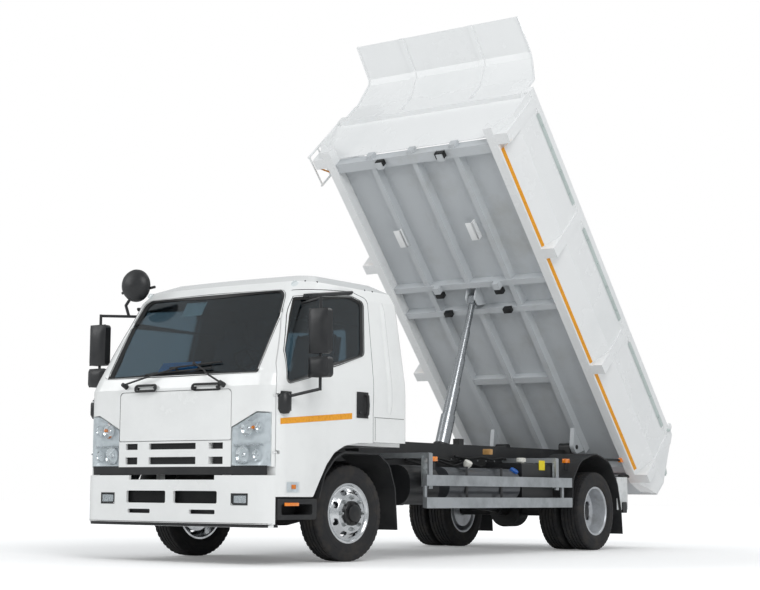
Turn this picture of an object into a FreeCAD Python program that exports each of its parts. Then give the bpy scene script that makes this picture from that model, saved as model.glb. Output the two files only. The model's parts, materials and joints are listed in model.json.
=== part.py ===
import FreeCAD, Part
import math
import os
import re

import Sketcher
from FreeCAD import Placement, Rotation, Vector

# Tipper lorry with a forward-control tilt cab, built in its own frame:
# +X is the lorry's left, the front looks along -Y, +Z is up, wheels stand on z = 0.
# Chassis and cab pieces are drawn with y measured from the front axle, and the bed
# with y and z measured from its rear hinge, as if it lay down.

doc = FreeCAD.newDocument("tipper_lorry")
sheet = doc.addObject("Spreadsheet::Sheet", "dims")

# name, value in mm or degrees, meaning
DIMENSIONS = [
    ("front_axle_y", -2391.3, "front axle's y, which centres the whole lorry on y = 0"),
    ("wheelbase", 4380, "front axle to rear axle"),
    ("front_track", 1756, "between the middles of the front tyres"),
    ("rear_track", 1698, "between the middles of the rear twins"),
    ("tyre_radius", 419, "tyre, outside"),
    ("tyre_width", 240, "tyre, across the walls"),
    ("rim_radius", 262, "rim flange"),
    ("rim_width", 200, "between the outer faces of a rim's flanges"),
    ("twin_pitch", 270, "between the middles of a pair of twin tyres"),
    ("steer_rest", 7, "how far the front wheels are turned to the right as it stands"),
    ("kingpin_x", 730, "kingpin from the middle"),
    ("kingpin_radius", 20, "kingpin"),
    ("stub_radius", 30, "front stub axle"),
    ("spindle_radius", 50, "rear axle tube's end"),
    ("running_gap", 0.05, "radial play of every pin and spindle"),
    ("arm_length", 170, "steering arm, kingpin to ball joint"),
    ("stud_circle", 137.5, "wheel stud circle's radius"),
    ("frame_width", 850, "over the frame rails"),
    ("frame_top", 985, "top of the frame rails"),
    ("rail_height", 240, "frame rail, height"),
    ("rail_flange", 75, "frame rail, width"),
    ("rail_web", 8, "frame rail, thickness"),
    ("frame_front", -1180, "front end of the rails"),
    ("frame_rear", 5060, "rear end of the rails"),
    ("sub_height", 115, "height of the sub-frame on the rails"),
    ("sub_front", 880, "front end of the sub-frame"),
    ("hinge_y", 4952, "bed hinge from the front axle"),
    ("hinge_z", 1133, "bed hinge above the ground"),
    ("hinge_pin", 25, "bed hinge pin's radius"),
    ("bed_tilt", 48.1, "how far the bed is raised as it stands"),
    ("bed_base", 80, "bed's lower edge above its hinge"),
    ("bed_front", 4160, "hinge to the front ends of the bed's lower edges"),
    ("bed_wall", 3990, "hinge to the foot of the front wall"),
    ("bed_rear", 608, "hinge to the rear ends of the bed's lower edges"),
    ("bed_foot", 1087, "half width over the lower edges"),
    ("bed_half", 1235, "half width over the side sheets"),
    ("bed_knee", 270, "height of the side's fold over its lower edge"),
    ("bed_height", 800, "height of the sides over their lower edge"),
    ("bearer_height", 120, "height of the bearers under the floor"),
    ("stringer_x", 530, "middle of the bed's long bearers"),
    ("rest_height", 60, "rest blocks on the sub-frame"),
    ("sheet", 8, "thickness of floor and side sheets"),
    ("visor_height", 1330, "cab guard's underside over the bed's lower edge"),
    ("visor_reach", 600, "cab guard in front of the front wall's ledge"),
    ("hoist_y", 2883, "hoist trunnion from the front axle"),
    ("hoist_z", 850, "hoist trunnion above the ground"),
    ("hoist_eye", 2074, "hinge to the hoist's upper pin, along the bed"),
    ("hoist_stroke", 1659, "hoist, from shut to fully out"),
    ("cab_half", 1085, "half width of the cab"),
    ("cab_front", -1282, "cab's front at its middle"),
    ("cab_rear", 737, "cab's back"),
    ("cab_wall", 60, "cab wall and door thickness"),
    ("cab_floor", 1010, "underside of the cab floor"),
    ("roof_top", 2500, "top of the roof"),
    ("belt", 1480, "where the cab's side starts to lean in"),
    ("tilt_y", -1150, "cab tilt pin from the front axle"),
    ("tilt_z", 880, "cab tilt pin above the ground"),
    ("tilt_pin", 15, "cab tilt pin's radius"),
    ("shut_gap", 6, "gap round doors and lids"),
    ("door_front", -1157, "front edge of the doors"),
    ("door_rear", 182, "rear edge of the doors"),
    ("door_bottom", 560, "lower edge of the doors"),
    ("bumper_front", -1300, "bumper's front at its middle"),
    ("bumper_top", 735, "bumper, top"),
    ("bumper_bottom", 335, "bumper, bottom"),
    ("guard_x", 1100, "outer face of the side guards"),
    ("guard_front", 1030, "front end of the side guards"),
    ("guard_rear", 3830, "rear end of the side guards"),
    ("arch_radius", 575, "rear mudguard, outside"),
]
for row, (name, value, meaning) in enumerate(DIMENSIONS, 1):
    sheet.set("A%d" % row, meaning)
    sheet.set("B%d" % row, str(value))
    sheet.setAlias("B%d" % row, name)
doc.recompute()
ALIASES = {name for name, value, meaning in DIMENSIONS}

AXES = {"X": Rotation(Vector(0, 1, 0), 90), "Y": Rotation(Vector(1, 0, 0), -90), "Z": Rotation()}
PLANES = {"XY": "XY_Plane", "XZ": "XZ_Plane", "YZ": "YZ_Plane"}
NODES = []


def bind(text):
    """Turn 'belt + 20' into an expression on the sheet's cells."""
    return re.sub(r"[a-z][a-z_0-9]*", lambda m: ("dims." if m.group() in ALIASES else "") + m.group(),
                  str(text))


def val(text):
    """Number that an expression on the sheet gives now."""
    result = sheet.evalExpression(bind(text))
    return float(getattr(result, "Value", result))


def node(obj, label, base=(0, "front_axle_y", 0), axis=None, angle=0):
    """Name a finished sub-part and put it in its place."""
    obj.Label = label
    if axis:
        obj.Placement = Placement(Vector(), Rotation(Vector(*axis), 1))
        obj.setExpression(".Placement.Rotation.Angle", bind(angle))
    for letter, text in zip("xyz", base):
        obj.setExpression(".Placement.Base." + letter, bind(text))
    NODES.append(obj)
    return obj


def place(obj, at, axis="Z"):
    obj.Placement = Placement(Vector(), AXES[axis])
    for letter, text in zip("xyz", at):
        obj.setExpression(".Placement.Base." + letter, bind(text))
    return obj


def box(name, size, at):
    """Block with its lowest corner at a point."""
    obj = doc.addObject("Part::Box", name)
    for side, text in zip(("Length", "Width", "Height"), size):
        obj.setExpression(side, bind(text))
    return place(obj, at)


def rod(name, radius, length, at, axis="X"):
    """Cylinder that starts at a point and runs along an axis."""
    obj = doc.addObject("Part::Cylinder", name)
    obj.setExpression("Radius", bind(radius))
    obj.setExpression("Height", bind(length))
    return place(obj, at, axis)


def join(name, parts):
    obj = doc.addObject("Part::MultiFuse", name)
    obj.Shapes = parts
    return obj


def group(name, parts):
    """Like pieces that don't touch, kept as separate solids of one sub-part."""
    obj = doc.addObject("Part::Compound", name)
    obj.Links = parts
    return obj


def cut(name, base, tool):
    obj = doc.addObject("Part::Cut", name)
    obj.Base = base
    obj.Tool = tool
    return obj


def common(name, base, tool):
    obj = doc.addObject("Part::Common", name)
    obj.Base = base
    obj.Tool = tool
    return obj


def mirrored(source):
    """The same piece on the other side of the lorry."""
    obj = doc.addObject("Part::Mirroring", source.Name + "_mirror")
    obj.Source = source
    obj.Normal = Vector(1, 0, 0)
    return obj


def pair(name, source):
    return group(name, [source, mirrored(source)])


def handed(side, source):
    """A left piece's drawing as a sub-part of its own on either side."""
    return group(source.Name + "_" + side, [source]) if side == "left" else mirrored(source)


def draw(sketch, points):
    """Closed outline of (across, up) or (across, up, corner radius) points."""
    spots = [Vector(val(p[0]), val(p[1]), 0) for p in points]
    radii = [val(p[2]) if len(p) > 2 else 0 for p in points]
    count = len(points)
    ends = []
    for i, spot in enumerate(spots):
        back = (spots[i - 1] - spot).normalize()
        ahead = (spots[(i + 1) % count] - spot).normalize()
        half_turn = (math.pi - back.getAngle(ahead)) / 2
        reach = radii[i] * math.tan(half_turn)
        ends.append((spot + back * reach, spot + ahead * reach, back, ahead, half_turn))
    geometry, tips = [], []
    sharp = {}
    for i, (start, end, back, ahead, half_turn) in enumerate(ends):
        if radii[i]:
            inward = (back + ahead).normalize()
            middle = spots[i] + inward * (radii[i] / math.cos(half_turn) - radii[i])
            geometry.append(Part.Arc(start, middle, end))
            tips.append((1, 2) if back.cross(ahead).z < 0 else (2, 1))
        else:
            sharp[i] = len(geometry)
        geometry.append(Part.LineSegment(end, ends[(i + 1) % count][0]))
        tips.append((1, 2))
    sketch.addGeometry(geometry, False)
    total = len(geometry)
    bonds = [Sketcher.Constraint("Coincident", g, tips[g][1], (g + 1) % total, tips[(g + 1) % total][0])
             for g in range(total)]
    texts = []
    for i, g in sharp.items():
        bonds.append(Sketcher.Constraint("DistanceX", -1, 1, g, 1, spots[i].x))
        texts.append((len(bonds) - 1, points[i][0]))
        bonds.append(Sketcher.Constraint("DistanceY", -1, 1, g, 1, spots[i].y))
        texts.append((len(bonds) - 1, points[i][1]))
    sketch.addConstraint(bonds)
    for index, text in texts:
        if isinstance(text, str):
            sketch.setExpression("Constraints[%d]" % index, bind(text))


def sketch_in(body, name, plane, offset=0):
    """Empty sketch on one of a body's own planes, moved along +X, +Y or +Z."""
    sketch = body.newObject("Sketcher::SketchObject", name)
    flat = [f for f in body.Origin.OriginFeatures if f.Role == PLANES[plane]][0]
    sketch.AttachmentSupport = [(flat, "")]
    sketch.MapMode = "FlatFace"
    sign = "-" if plane == "XZ" else ""
    sketch.setExpression(".AttachmentOffset.Base.z", bind("%s(%s)" % (sign, offset)))
    return sketch


def prism(name, plane, points, start, length):
    """Outline drawn on a plane and padded along +X, +Y or +Z from a start."""
    body = doc.addObject("PartDesign::Body", name)
    sketch = sketch_in(body, name + "_outline", plane, start)
    draw(sketch, points)
    pad = body.newObject("PartDesign::Pad", name + "_pad")
    pad.Profile = sketch
    pad.setExpression("Length", bind(length))
    pad.Reversed = plane == "XZ"
    return body


def turned(name, points):
    """Section of (along the axle, radius) points, turned about the X axis."""
    body = doc.addObject("PartDesign::Body", name)
    sketch = sketch_in(body, name + "_section", "XZ")
    draw(sketch, points)
    turn = body.newObject("PartDesign::Revolution", name + "_turn")
    turn.Profile = sketch
    turn.ReferenceAxis = (sketch, ["H_Axis"])
    turn.Angle = 360
    return body


# ---------------------------------------------------------------- chassis frame
RAIL_IN = "frame_width / 2 - rail_flange"
RAIL_WEB = "frame_width / 2 - rail_web"
SUB_TOP = "(frame_top + sub_height)"


def channel(name, top, height, start, length):
    """Channel rail on the left, open towards the middle."""
    outer = "frame_width / 2"
    low = "%s - (%s)" % (top, height)
    points = [(outer, low), (outer, top), (RAIL_IN, top), (RAIL_IN, top + " - rail_web"),
              (RAIL_WEB, top + " - rail_web"), (RAIL_WEB, low + " + rail_web"),
              (RAIL_IN, low + " + rail_web"), (RAIL_IN, low)]
    return prism(name, "XZ", points, start, length)


def cross_beam(name, middle, width, low, height, reach=RAIL_WEB):
    return box(name, ("2 * (%s)" % reach, width, height), ("-(%s)" % reach, "%s - %s / 2" % (middle, width), low))


rail = channel("rail", "frame_top", "rail_height", "frame_front", "frame_rear - frame_front")
beams = [cross_beam("frame_beam_%d" % i, y, 70, "frame_top - 190", 150)
         for i, y in enumerate(("frame_front + 130", 1260, "hoist_y - 640", "hoist_y + 640", "frame_rear - 35"))]
tilt_pin = rod("tilt_pin", "tilt_pin", "frame_width / 2 - 290", (290, "tilt_y", "tilt_z"))
mounts = [box("cab_mount_%d" % i, ("rail_flange", 90, "cab_floor - frame_top - 0.3"), (RAIL_IN, y, "frame_top"))
          for i, y in enumerate((-990, "cab_rear - 160"))]
nose = prism("frame_nose", "YZ", [("frame_front - 10", "frame_top - rail_height - 10"), ("frame_front - 10", "tilt_z - 30"),
                                  ("frame_front + 140", "frame_top - rail_height - 10")], 300, 200)
frame_side = join("frame_side", [cut("rail_nosed", rail, nose), tilt_pin] + mounts)

JAW_REACH = "frame_rear + 108"  # clear of the underrun bar, so that a pin goes in from below
jaw_blank = prism("jaw_blank", "XY", [(-60, "frame_rear - 10"), (60, "frame_rear - 10"), (42, JAW_REACH + " + 42", 40),
                                      (-42, JAW_REACH + " + 42", 40)], 825, 70)
jaw_gap = box("jaw_gap", (200, 200, 40), (-100, "frame_rear + 12", 840))
jaw_bore = rod("jaw_bore", 16, 120, (0, JAW_REACH, 800), "Z")
tow_jaw = cut("tow_jaw", cut("jaw_open", jaw_blank, jaw_gap), jaw_bore)
node(pair("frame_rails", frame_side), "chassis_rails")
node(group("frame_beams", beams[:-1] + [join("tail_beam", [beams[-1], tow_jaw])]), "cross_members")

# ---------------------------------------------------------------- sub-frame with bed hinge and hoist cradle
sub_rail = channel("sub_rail", SUB_TOP, "sub_height", "sub_front", "frame_rear - sub_front - 30")
hinge_block = prism("hinge_block", "YZ", [("hinge_y - 55", "frame_top + rail_web"), ("hinge_y + 55", "frame_top + rail_web"),
                    ("hinge_y + 55", "hinge_z + 45", 45), ("hinge_y - 55", "hinge_z + 45", 45)],
                    RAIL_IN, "stringer_x - 35 - (%s)" % RAIL_IN)
hinge_pin = rod("hinge_pin", "hinge_pin", "stringer_x + 32 - (%s)" % RAIL_IN, (RAIL_IN, "hinge_y", "hinge_z"))
rests = [box("rest_%d" % i, ("rail_flange", 90, "rest_height"), (RAIL_IN, y, SUB_TOP))
         for i, y in enumerate(("hinge_y - hoist_eye - 178 - 45", "hinge_y - bed_wall + 68 - 45"))]
cradle_blank = box("cradle_blank", (20, 550, "%s - 2 * rail_web - hoist_z + 60" % SUB_TOP),
                   (118, "hoist_y - 275", "hoist_z - 60"))
cradle = cut("cradle", cradle_blank, rod("cradle_bore", "25 + running_gap", 60, (100, "hoist_y", "hoist_z")))
sub_side = join("sub_side", [sub_rail, hinge_block, hinge_pin, cradle] + rests)
sub_beams = [cross_beam("sub_beam_%d" % i, y, 60, "frame_top + rail_web", "sub_height - 2 * rail_web")
             for i, y in enumerate(("sub_front + 60", "hoist_y - 300", "hoist_y + 300", "hinge_y - 100"))]
node(join("sub_frame_all", [sub_side, mirrored(sub_side)] + sub_beams), "sub_frame")

# ---------------------------------------------------------------- leaf springs
SPRINGS = [  # middle y, half length, seat z, eye z, leaves
    (0, 640, 455, 700, 3),
    ("wheelbase", 700, 480, 690, 5),
]
LEAF = 14
spring_parts = []
for number, (middle, half, seat, eye, leaves) in enumerate(SPRINGS):
    slope = (eye - seat - LEAF * (leaves - 1)) / (half - 60)
    for leaf in range(leaves):
        reach = half * (1 - leaf / (leaves + 1))
        low = seat + LEAF * (leaves - 1 - leaf)
        tip = low + slope * (reach - 60)
        lower = [(-reach, tip), (-60, low, 300), (60, low, 300), (reach, tip)]
        outline = lower + [(p[0], p[1] + LEAF) + tuple(p[2:]) for p in reversed(lower)]
        points = [("%s + %s" % (middle, p[0]),) + tuple(p[1:]) for p in outline]
        spring_parts.append(prism("leaf_%d_%d" % (number, leaf), "YZ", points, 365, 70))
    for end in (-1, 1):
        spring_parts.append(box("hanger_%d_%d" % (number, end), (70, 50, "frame_top - rail_height - %s" % eye),
                                (365, "%s + %s" % (middle, end * (half - 25) - 25), eye)))
node(pair("springs", join("springs_left", spring_parts)), "leaf_springs")

# ---------------------------------------------------------------- front axle, knuckles and track rod
BEAM_HALF = [(0, 300), (230, 300, 80), (470, 355, 80), (700, 370), (700, 470), (560, 470, 60), (470, 455),
             (330, 455), (230, 400, 80), (0, 400)]
beam_outline = BEAM_HALF + [(-p[0],) + tuple(p[1:]) for p in reversed(BEAM_HALF[1:-1])]
axle_beam = prism("axle_beam", "XZ", beam_outline, -45, 90)
boss = rod("kingpin_boss", 45, 140, ("kingpin_x", 0, "tyre_radius - 70"), "Z")
bore = rod("kingpin_bore", "kingpin_radius + running_gap", 200, ("kingpin_x", 0, "tyre_radius - 100"), "Z")
axle_solid = join("front_axle_solid", [axle_beam, boss, mirrored(boss)])
node(cut("front_axle_bored", cut("front_axle_left", axle_solid, bore), mirrored(bore)), "front_axle")

EAR = [(-32, -32, 30), (95, -45), (95, 45), (-32, 32, 30)]
ARM = [(62, 30), (95, 30), (28, "arm_length + 26", 20), (-26, "arm_length + 26", 20), (-26, "arm_length - 28", 20)]
ARM_LOW = "tyre_radius - 99"
knuckle = join("knuckle_solid", [
    prism("ear_low", "XY", EAR, "tyre_radius - 99", 24),
    prism("ear_high", "XY", EAR, "tyre_radius + 75", 24),
    box("knuckle_web", (33, 90, 198), (62, -45, "tyre_radius - 99")),
    rod("kingpin", "kingpin_radius", 180, (0, 0, "tyre_radius - 90"), "Z"),
    rod("stub_axle", "stub_radius", 150, (85, 0, "tyre_radius")),
    prism("steering_arm", "XY", ARM, ARM_LOW, 22),
])
knuckle_bored = cut("knuckle_bored", knuckle, rod("ball_bore", 12.05, 60, (0, "arm_length", "tyre_radius - 120"), "Z"))
node(handed("left", knuckle_bored), "left_knuckle", ("kingpin_x", "front_axle_y", 0), (0, 0, 1), "-steer_rest")
node(handed("right", knuckle_bored), "right_knuckle", ("-kingpin_x", "front_axle_y", 0), (0, 0, 1), "-steer_rest")

ROD_Z = "tyre_radius - 60"
rod_end = [rod("rod_eye", 24, 34, (0, 0, "tyre_radius - 76.7"), "Z"),
           rod("rod_pin", 12, 70, (0, 0, "tyre_radius - 104"), "Z")]
far_end = [rod("rod_eye_far", 24, 34, ("-2 * kingpin_x", 0, "tyre_radius - 76.7"), "Z"),
           rod("rod_pin_far", 12, 70, ("-2 * kingpin_x", 0, "tyre_radius - 104"), "Z")]
rod_tube = rod("rod_tube", 14, "2 * kingpin_x", ("-2 * kingpin_x", 0, ROD_Z))
node(join("track_rod_all", rod_end + far_end + [rod_tube]), "track_rod",
     ("kingpin_x + arm_length * sin(steer_rest)", "front_axle_y + arm_length * cos(steer_rest)", 0))

# ---------------------------------------------------------------- rear axle
axle_tube = rod("axle_tube", 60, "2 * (rear_track / 2 - 235)", ("235 - rear_track / 2", 0, "tyre_radius"))
spindle = rod("spindle", "spindle_radius", "rear_track + 120", ("-rear_track / 2 - 60", 0, "tyre_radius"))
diff_case = rod("diff_case", 185, 230, (0, -115, "tyre_radius"), "Y")
diff_nose = rod("diff_nose", 80, 200, (0, -290, "tyre_radius + 20"), "Y")
spring_seats = [box("spring_seat_%d" % i, (90, 110, "480 - tyre_radius"), (x, -55, "tyre_radius"))
                for i, x in enumerate((355, -445))]
node(join("rear_axle_all", [axle_tube, spindle, diff_case, diff_nose] + spring_seats), "rear_axle",
     (0, "front_axle_y + wheelbase", 0))

# ---------------------------------------------------------------- wheels
TYRE = [(-92, "rim_radius - 10"), (-92, "rim_radius"), (-101, "rim_radius"), ("-tyre_width / 2", 300, 40), ("-tyre_width / 2", "tyre_radius - 60", 40),
        ("18 - tyre_width / 2", "tyre_radius", 25), ("tyre_width / 2 - 18", "tyre_radius", 25),
        ("tyre_width / 2", "tyre_radius - 60", 40), ("tyre_width / 2", 300, 40), (101, "rim_radius"), (92, "rim_radius"), (92, "rim_radius - 10")]
FACE = "twin_pitch / 2"
RIM = [("-rim_width / 2", "rim_radius"), (-92, "rim_radius"), (-92, "rim_radius - 10"), (92, "rim_radius - 10"),
       (92, "rim_radius"), ("rim_width / 2", "rim_radius"), ("rim_width / 2", 246), (90, 236), (88, 222),
       (112, 188, 20), (FACE, 165, 15), (FACE, 108), (FACE + " - 14", 108), (FACE + " - 14", 158, 15),
       (98, 184, 20), (74, 222), (62, 238), (-90, 240), ("-rim_width / 2", 246)]
FRONT_HUB = [(-45, "stub_radius + running_gap"), (-45, 185), (60, 185), (80, 150), (FACE + " - 13", 150),
             (FACE + " - 13", 108), (FACE + " + 22", 100, 12), (FACE + " + 30", 40), (FACE + " + 30", 0), (91, 0),
             (91, "stub_radius + running_gap")]
REAR_HUB = [(-230, 70), (-230, 190), (-60, 190), (-40, 150), (-14, 150), (-14, 106), (90, 100, 12), (104, 50),
            (104, 0), (62, 0), (62, "spindle_radius + running_gap"), (-200, "spindle_radius + running_gap"),
            (-200, 70)]


def hand_holes(name, body, start, length):
    """Eight oval hand holes round a wheel disc."""
    sketch = sketch_in(body, name, "YZ", start)
    for turn in range(8):
        angle = math.radians(45 * turn + 22.5)
        middle = Vector(192 * math.cos(angle), 192 * math.sin(angle), 0)
        along = Vector(-math.sin(angle), math.cos(angle), 0) * 12
        out = Vector(math.cos(angle), math.sin(angle), 0) * 20
        first, second = middle - along, middle + along
        tip = Vector(-math.sin(angle), math.cos(angle), 0) * 20
        sketch.addGeometry([Part.LineSegment(first + out, second + out), Part.Arc(second + out, second + tip, second - out),
                            Part.LineSegment(second - out, first - out), Part.Arc(first - out, first - tip, first + out)])
    pocket = body.newObject("PartDesign::Pocket", name + "_pocket")
    pocket.Profile = sketch
    pocket.setExpression("Length", bind(length))
    pocket.Reversed = True


def wheel(name):
    body = turned(name, RIM)
    hand_holes(name + "_holes", body, 60, 100)
    return body


WHEEL_X = "(front_track / 2 - kingpin_x)"
for side, sign in (("left", 1), ("right", -1)):
    at = ("%d * (kingpin_x + %s * cos(steer_rest))" % (sign, WHEEL_X),
          "front_axle_y - %d * %s * sin(steer_rest)" % (sign, WHEEL_X), "tyre_radius")
    tyre = handed(side, turned("front_tyre_" + side, TYRE))
    node(tyre, "front_%s_tyre" % side, at, (0, 0, 1), "-steer_rest")
    rim = join("front_rim_" + side, [wheel("front_wheel_" + side), turned("front_hub_" + side, FRONT_HUB)])
    node(handed(side, rim), "front_%s_wheel" % side, at, (0, 0, 1), "-steer_rest")

    at = ("%d * rear_track / 2" % sign, "front_axle_y + wheelbase", "tyre_radius")
    tyres, rims = [], []
    for row, facing in (("outer", 1), ("inner", -1)):
        middle = (("%d * twin_pitch / 2" % facing), 0, 0)
        tyres.append(place(turned("rear_tyre_%s_%s" % (side, row), TYRE), middle))
        disc = wheel("rear_wheel_%s_%s" % (side, row))
        rims.append(place(disc, middle) if facing < 0 else place(mirrored(disc), middle))
    node(handed(side, group("rear_tyres_" + side, tyres)), "rear_%s_tyres" % side, at)
    rims.append(turned("rear_hub_" + side, REAR_HUB))
    node(handed(side, join("rear_rims_" + side, rims)), "rear_%s_wheels" % side, at)

# ---------------------------------------------------------------- engine and drive
engine = box("engine_block", (640, 1150, "cab_floor - 520"), (-320, -820, 500))
gearbox = rod("gearbox", 170, 700, (0, 330, 730), "Y")
engine_mounts = [box("engine_mount_%d" % i, ("2 * (%s)" % RAIL_WEB, 90, 90), ("-(%s)" % RAIL_WEB, y, 820))
                 for i, y in enumerate((-600, 900))]
node(join("engine_all", [engine, gearbox] + engine_mounts), "engine")
SHAFT_FRONT = (0, 1030, 720)
SHAFT_REAR = (0, "wheelbase - 290", "tyre_radius + 20")
SHAFT_RADIUS = 45
shaft_run = val(SHAFT_REAR[1]) - SHAFT_FRONT[1]
shaft_drop = SHAFT_FRONT[2] - val(SHAFT_REAR[2])
shaft_slope = math.degrees(math.atan2(shaft_drop, shaft_run))
shaft_end = SHAFT_RADIUS * math.tan(math.radians(shaft_slope)) + 0.1
shaft = doc.addObject("Part::Cylinder", "shaft")
shaft.Radius = SHAFT_RADIUS
shaft.Height = math.hypot(shaft_run, shaft_drop) - 2 * shaft_end
node(shaft, "propshaft", (0, "front_axle_y + %s + %s" % (SHAFT_FRONT[1], shaft_end * math.cos(math.radians(shaft_slope))),
                          SHAFT_FRONT[2] - shaft_end * math.sin(math.radians(shaft_slope))),
     (1, 0, 0), -90 - shaft_slope)

# ---------------------------------------------------------------- tanks and boxes beside the frame
FRAME_OUT = "frame_width / 2"


def side_tank(name, label, start, length, low, high, inner, outer, corner):
    """Tank or box with rounded long edges, hung on two arms from a rail."""
    points = [(inner, low, corner), (outer, low, corner), (outer, high, corner), (inner, high, corner)]
    body = prism(name, "XZ", points, start, length)
    arms = [box("%s_arm_%d" % (name, i), ("%s - %s + 40" % (inner, FRAME_OUT), 40, 60),
                (FRAME_OUT, "%s + %s * %s - 20" % (start, length, share), "(%s + %s) / 2 + 60" % (low, high)))
            for i, share in enumerate((0.25, 0.75))]
    return join(name + "_all", [body] + arms), label


fuel, label = side_tank("fuel_tank_body", "fuel_tank", 1560, 1330, 530, 850, 520, 1010, 130)
node(fuel, label)
oil, label = side_tank("oil_tank_body", "hydraulic_tank", 2960, 640, 520, 915, 560, 990, 25)
node(oil, label)
air, label = side_tank("air_tank_body", "air_tank", 940, 500, 490, 860, 600, 970, 150)
node(air, label)
battery, label = side_tank("battery_body", "battery_box", 1060, 620, 500, 900, 520, 980, 20)
node(mirrored(battery), label)
silencer, label = side_tank("silencer_body", "silencer", 1900, 900, 520, 860, 540, 960, 150)
node(mirrored(silencer), label)

# ---------------------------------------------------------------- bumper, steps, mudguards, side guards, underrun
def plan_outline(half, front, rear, corner, bow):
    """Plan of a shell that wraps round the front of the cab: bowed front, rounded corners."""
    edge = "%s + %s" % (front, bow)
    return [(half, rear), (half, edge, corner), (0, front, 7000), ("-(%s)" % half, edge, corner), ("-(%s)" % half, rear)]


BOW = 60
bumper_blank = prism("bumper_blank", "XY", plan_outline("cab_half + 3", "bumper_front", -1000, 175, BOW),
                     "bumper_bottom", "bumper_top - bumper_bottom")
lip = prism("bumper_lip", "XY", plan_outline("cab_half - 9", "bumper_front + 12", -1000, 163, BOW), "bumper_bottom - 28", 28)
bumper_hollow = prism("bumper_hollow", "XY", plan_outline("cab_half - 22", "bumper_front + 25", -900, 150, BOW),
                      "bumper_bottom - 40", "bumper_top")
bumper = cut("bumper_shell", join("bumper_solid", [bumper_blank, lip]), bumper_hollow)
BUMPER_CUTS = [  # inner x, outer x, low, high, corner
    (45, 520, 500, 604, 15),
    (225, 500, 412, 448, 10),
    (670, 840, 490, 584, 30),
]
openings = [prism("bumper_cut_%d" % i, "XZ", [(a, low, c), (b, low, c), (b, high, c), (a, high, c)], -1500, 400)
            for i, (a, b, low, high, c) in enumerate(BUMPER_CUTS)]
openings.append(box("bumper_notch", (490, 400, 60), (0, -1500, "bumper_top - 38")))
openings.append(box("bumper_end", (400, 600, 500), ("cab_half - 300", "door_front - 8", "bumper_bottom - 60")))
cuts = join("bumper_cuts", openings)
bumper = cut("bumper_cut_left", bumper, cuts)
bumper = cut("bumper_cut_both", bumper, mirrored(cuts))
BRACKET_REAR = -1010
brackets = [box("bumper_arm_%d" % i, (56, "%s - bumper_front - 20" % BRACKET_REAR, 70), (x, "bumper_front + 20", 625))
            for i, x in enumerate((354, -410))]
brackets += [box("bumper_post_%d" % i, (56, 50, "frame_top - rail_height - 625"), (x, BRACKET_REAR, 625)) for i, x in enumerate((354, -410))]
lamps = [prism("fog_lamp_%d" % i, "XZ", [(x, 488, 28), (x + 174, 488, 28), (x + 174, 586, 28), (x, 586, 28)], "bumper_front + 50", 70)
         for i, x in enumerate((668, -842))]
node(join("bumper_all", [bumper] + brackets + lamps), "front_bumper")

STEP_OUT = "cab_half - 10"
STEP = [(-1150, 372, 20), (-625, 372, 30), (-617, 545, 10), (-1150, 545, 10)]
step_blank = prism("step_blank", "YZ", STEP, "cab_half - 230", 220)
step_hollow = prism("step_hollow", "YZ", [(-1100, 412, 20), (-680, 412, 20), (-680, 500, 20), (-1100, 500, 20)], "cab_half - 200", 400)
step_arm = box("step_arm", ("cab_half - 220 - frame_width / 2", 60, 40), ("frame_width / 2", -900, 505))
step_leg = box("step_leg", (20, 60, 300), ("frame_width / 2", -900, 505))
node(pair("steps", join("step_left", [cut("step_tread", step_blank, step_hollow), step_arm, step_leg])), "cab_steps")

ARCH = [(-584, 556), (-508, 754, 120), (-362, 892, 100), (-222, 950, 60), (300, 950, 60), (470, 850, 150), (560, 640, 60), (595, 268)]
ARCH_THICK = 14


def thick_line(points, thickness):
    """Outline of a sheet of one thickness along a bent line of (y, z, radius) points."""
    spots = [Vector(p[0], p[1], 0) for p in points]
    far = []
    for i, spot in enumerate(spots):
        before = (spot - spots[i - 1]).normalize() if i else None
        after = (spots[i + 1] - spot).normalize() if i + 1 < len(spots) else None
        along = ((before or after) + (after or before)).normalize()
        aside = Vector(-along.y, along.x, 0)
        share = aside.dot(Vector(-(after or before).y, (after or before).x, 0))
        moved = spot - aside * (thickness / share)
        radius = points[i][2] if len(points[i]) > 2 else 0
        far.append((moved.x, moved.y) if not radius else (moved.x, moved.y, max(radius - thickness, 5)))
    return list(points) + far[::-1]


arch = prism("front_arch", "YZ", thick_line(ARCH, ARCH_THICK), 640, 430)
arch_arm = box("arch_arm", ("640 - frame_width / 2 + 20", 50, 50), ("frame_width / 2", 420, "frame_top - 150"))
node(pair("front_arches", join("front_arch_left", [arch, arch_arm])), "front_mudguards")

REAR_ARCH = [(-540, 485), (-520, 760, 200), (-340, 960, 260), (0, 1053, 330), (330, 960, 260), (520, 720, 200), (600, 430, 60), (625, 165)]
rear_points = [(y + val("wheelbase"),) + tuple(rest) for y, *rest in REAR_ARCH]
rear_arch = prism("rear_arch", "YZ", thick_line(rear_points, ARCH_THICK), "rear_track / 2 - 255", 500)
rear_arms = [box("rear_arch_arm_%d" % i, ("rear_track / 2 - 250 - frame_width / 2", 50, 40),
                 ("frame_width / 2", "wheelbase + %s - 25" % y, z)) for i, (y, z) in enumerate(((-440, 800), (445, 800)))]
node(pair("rear_arches", join("rear_arch_left", [rear_arch] + rear_arms)), "rear_mudguards")

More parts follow.
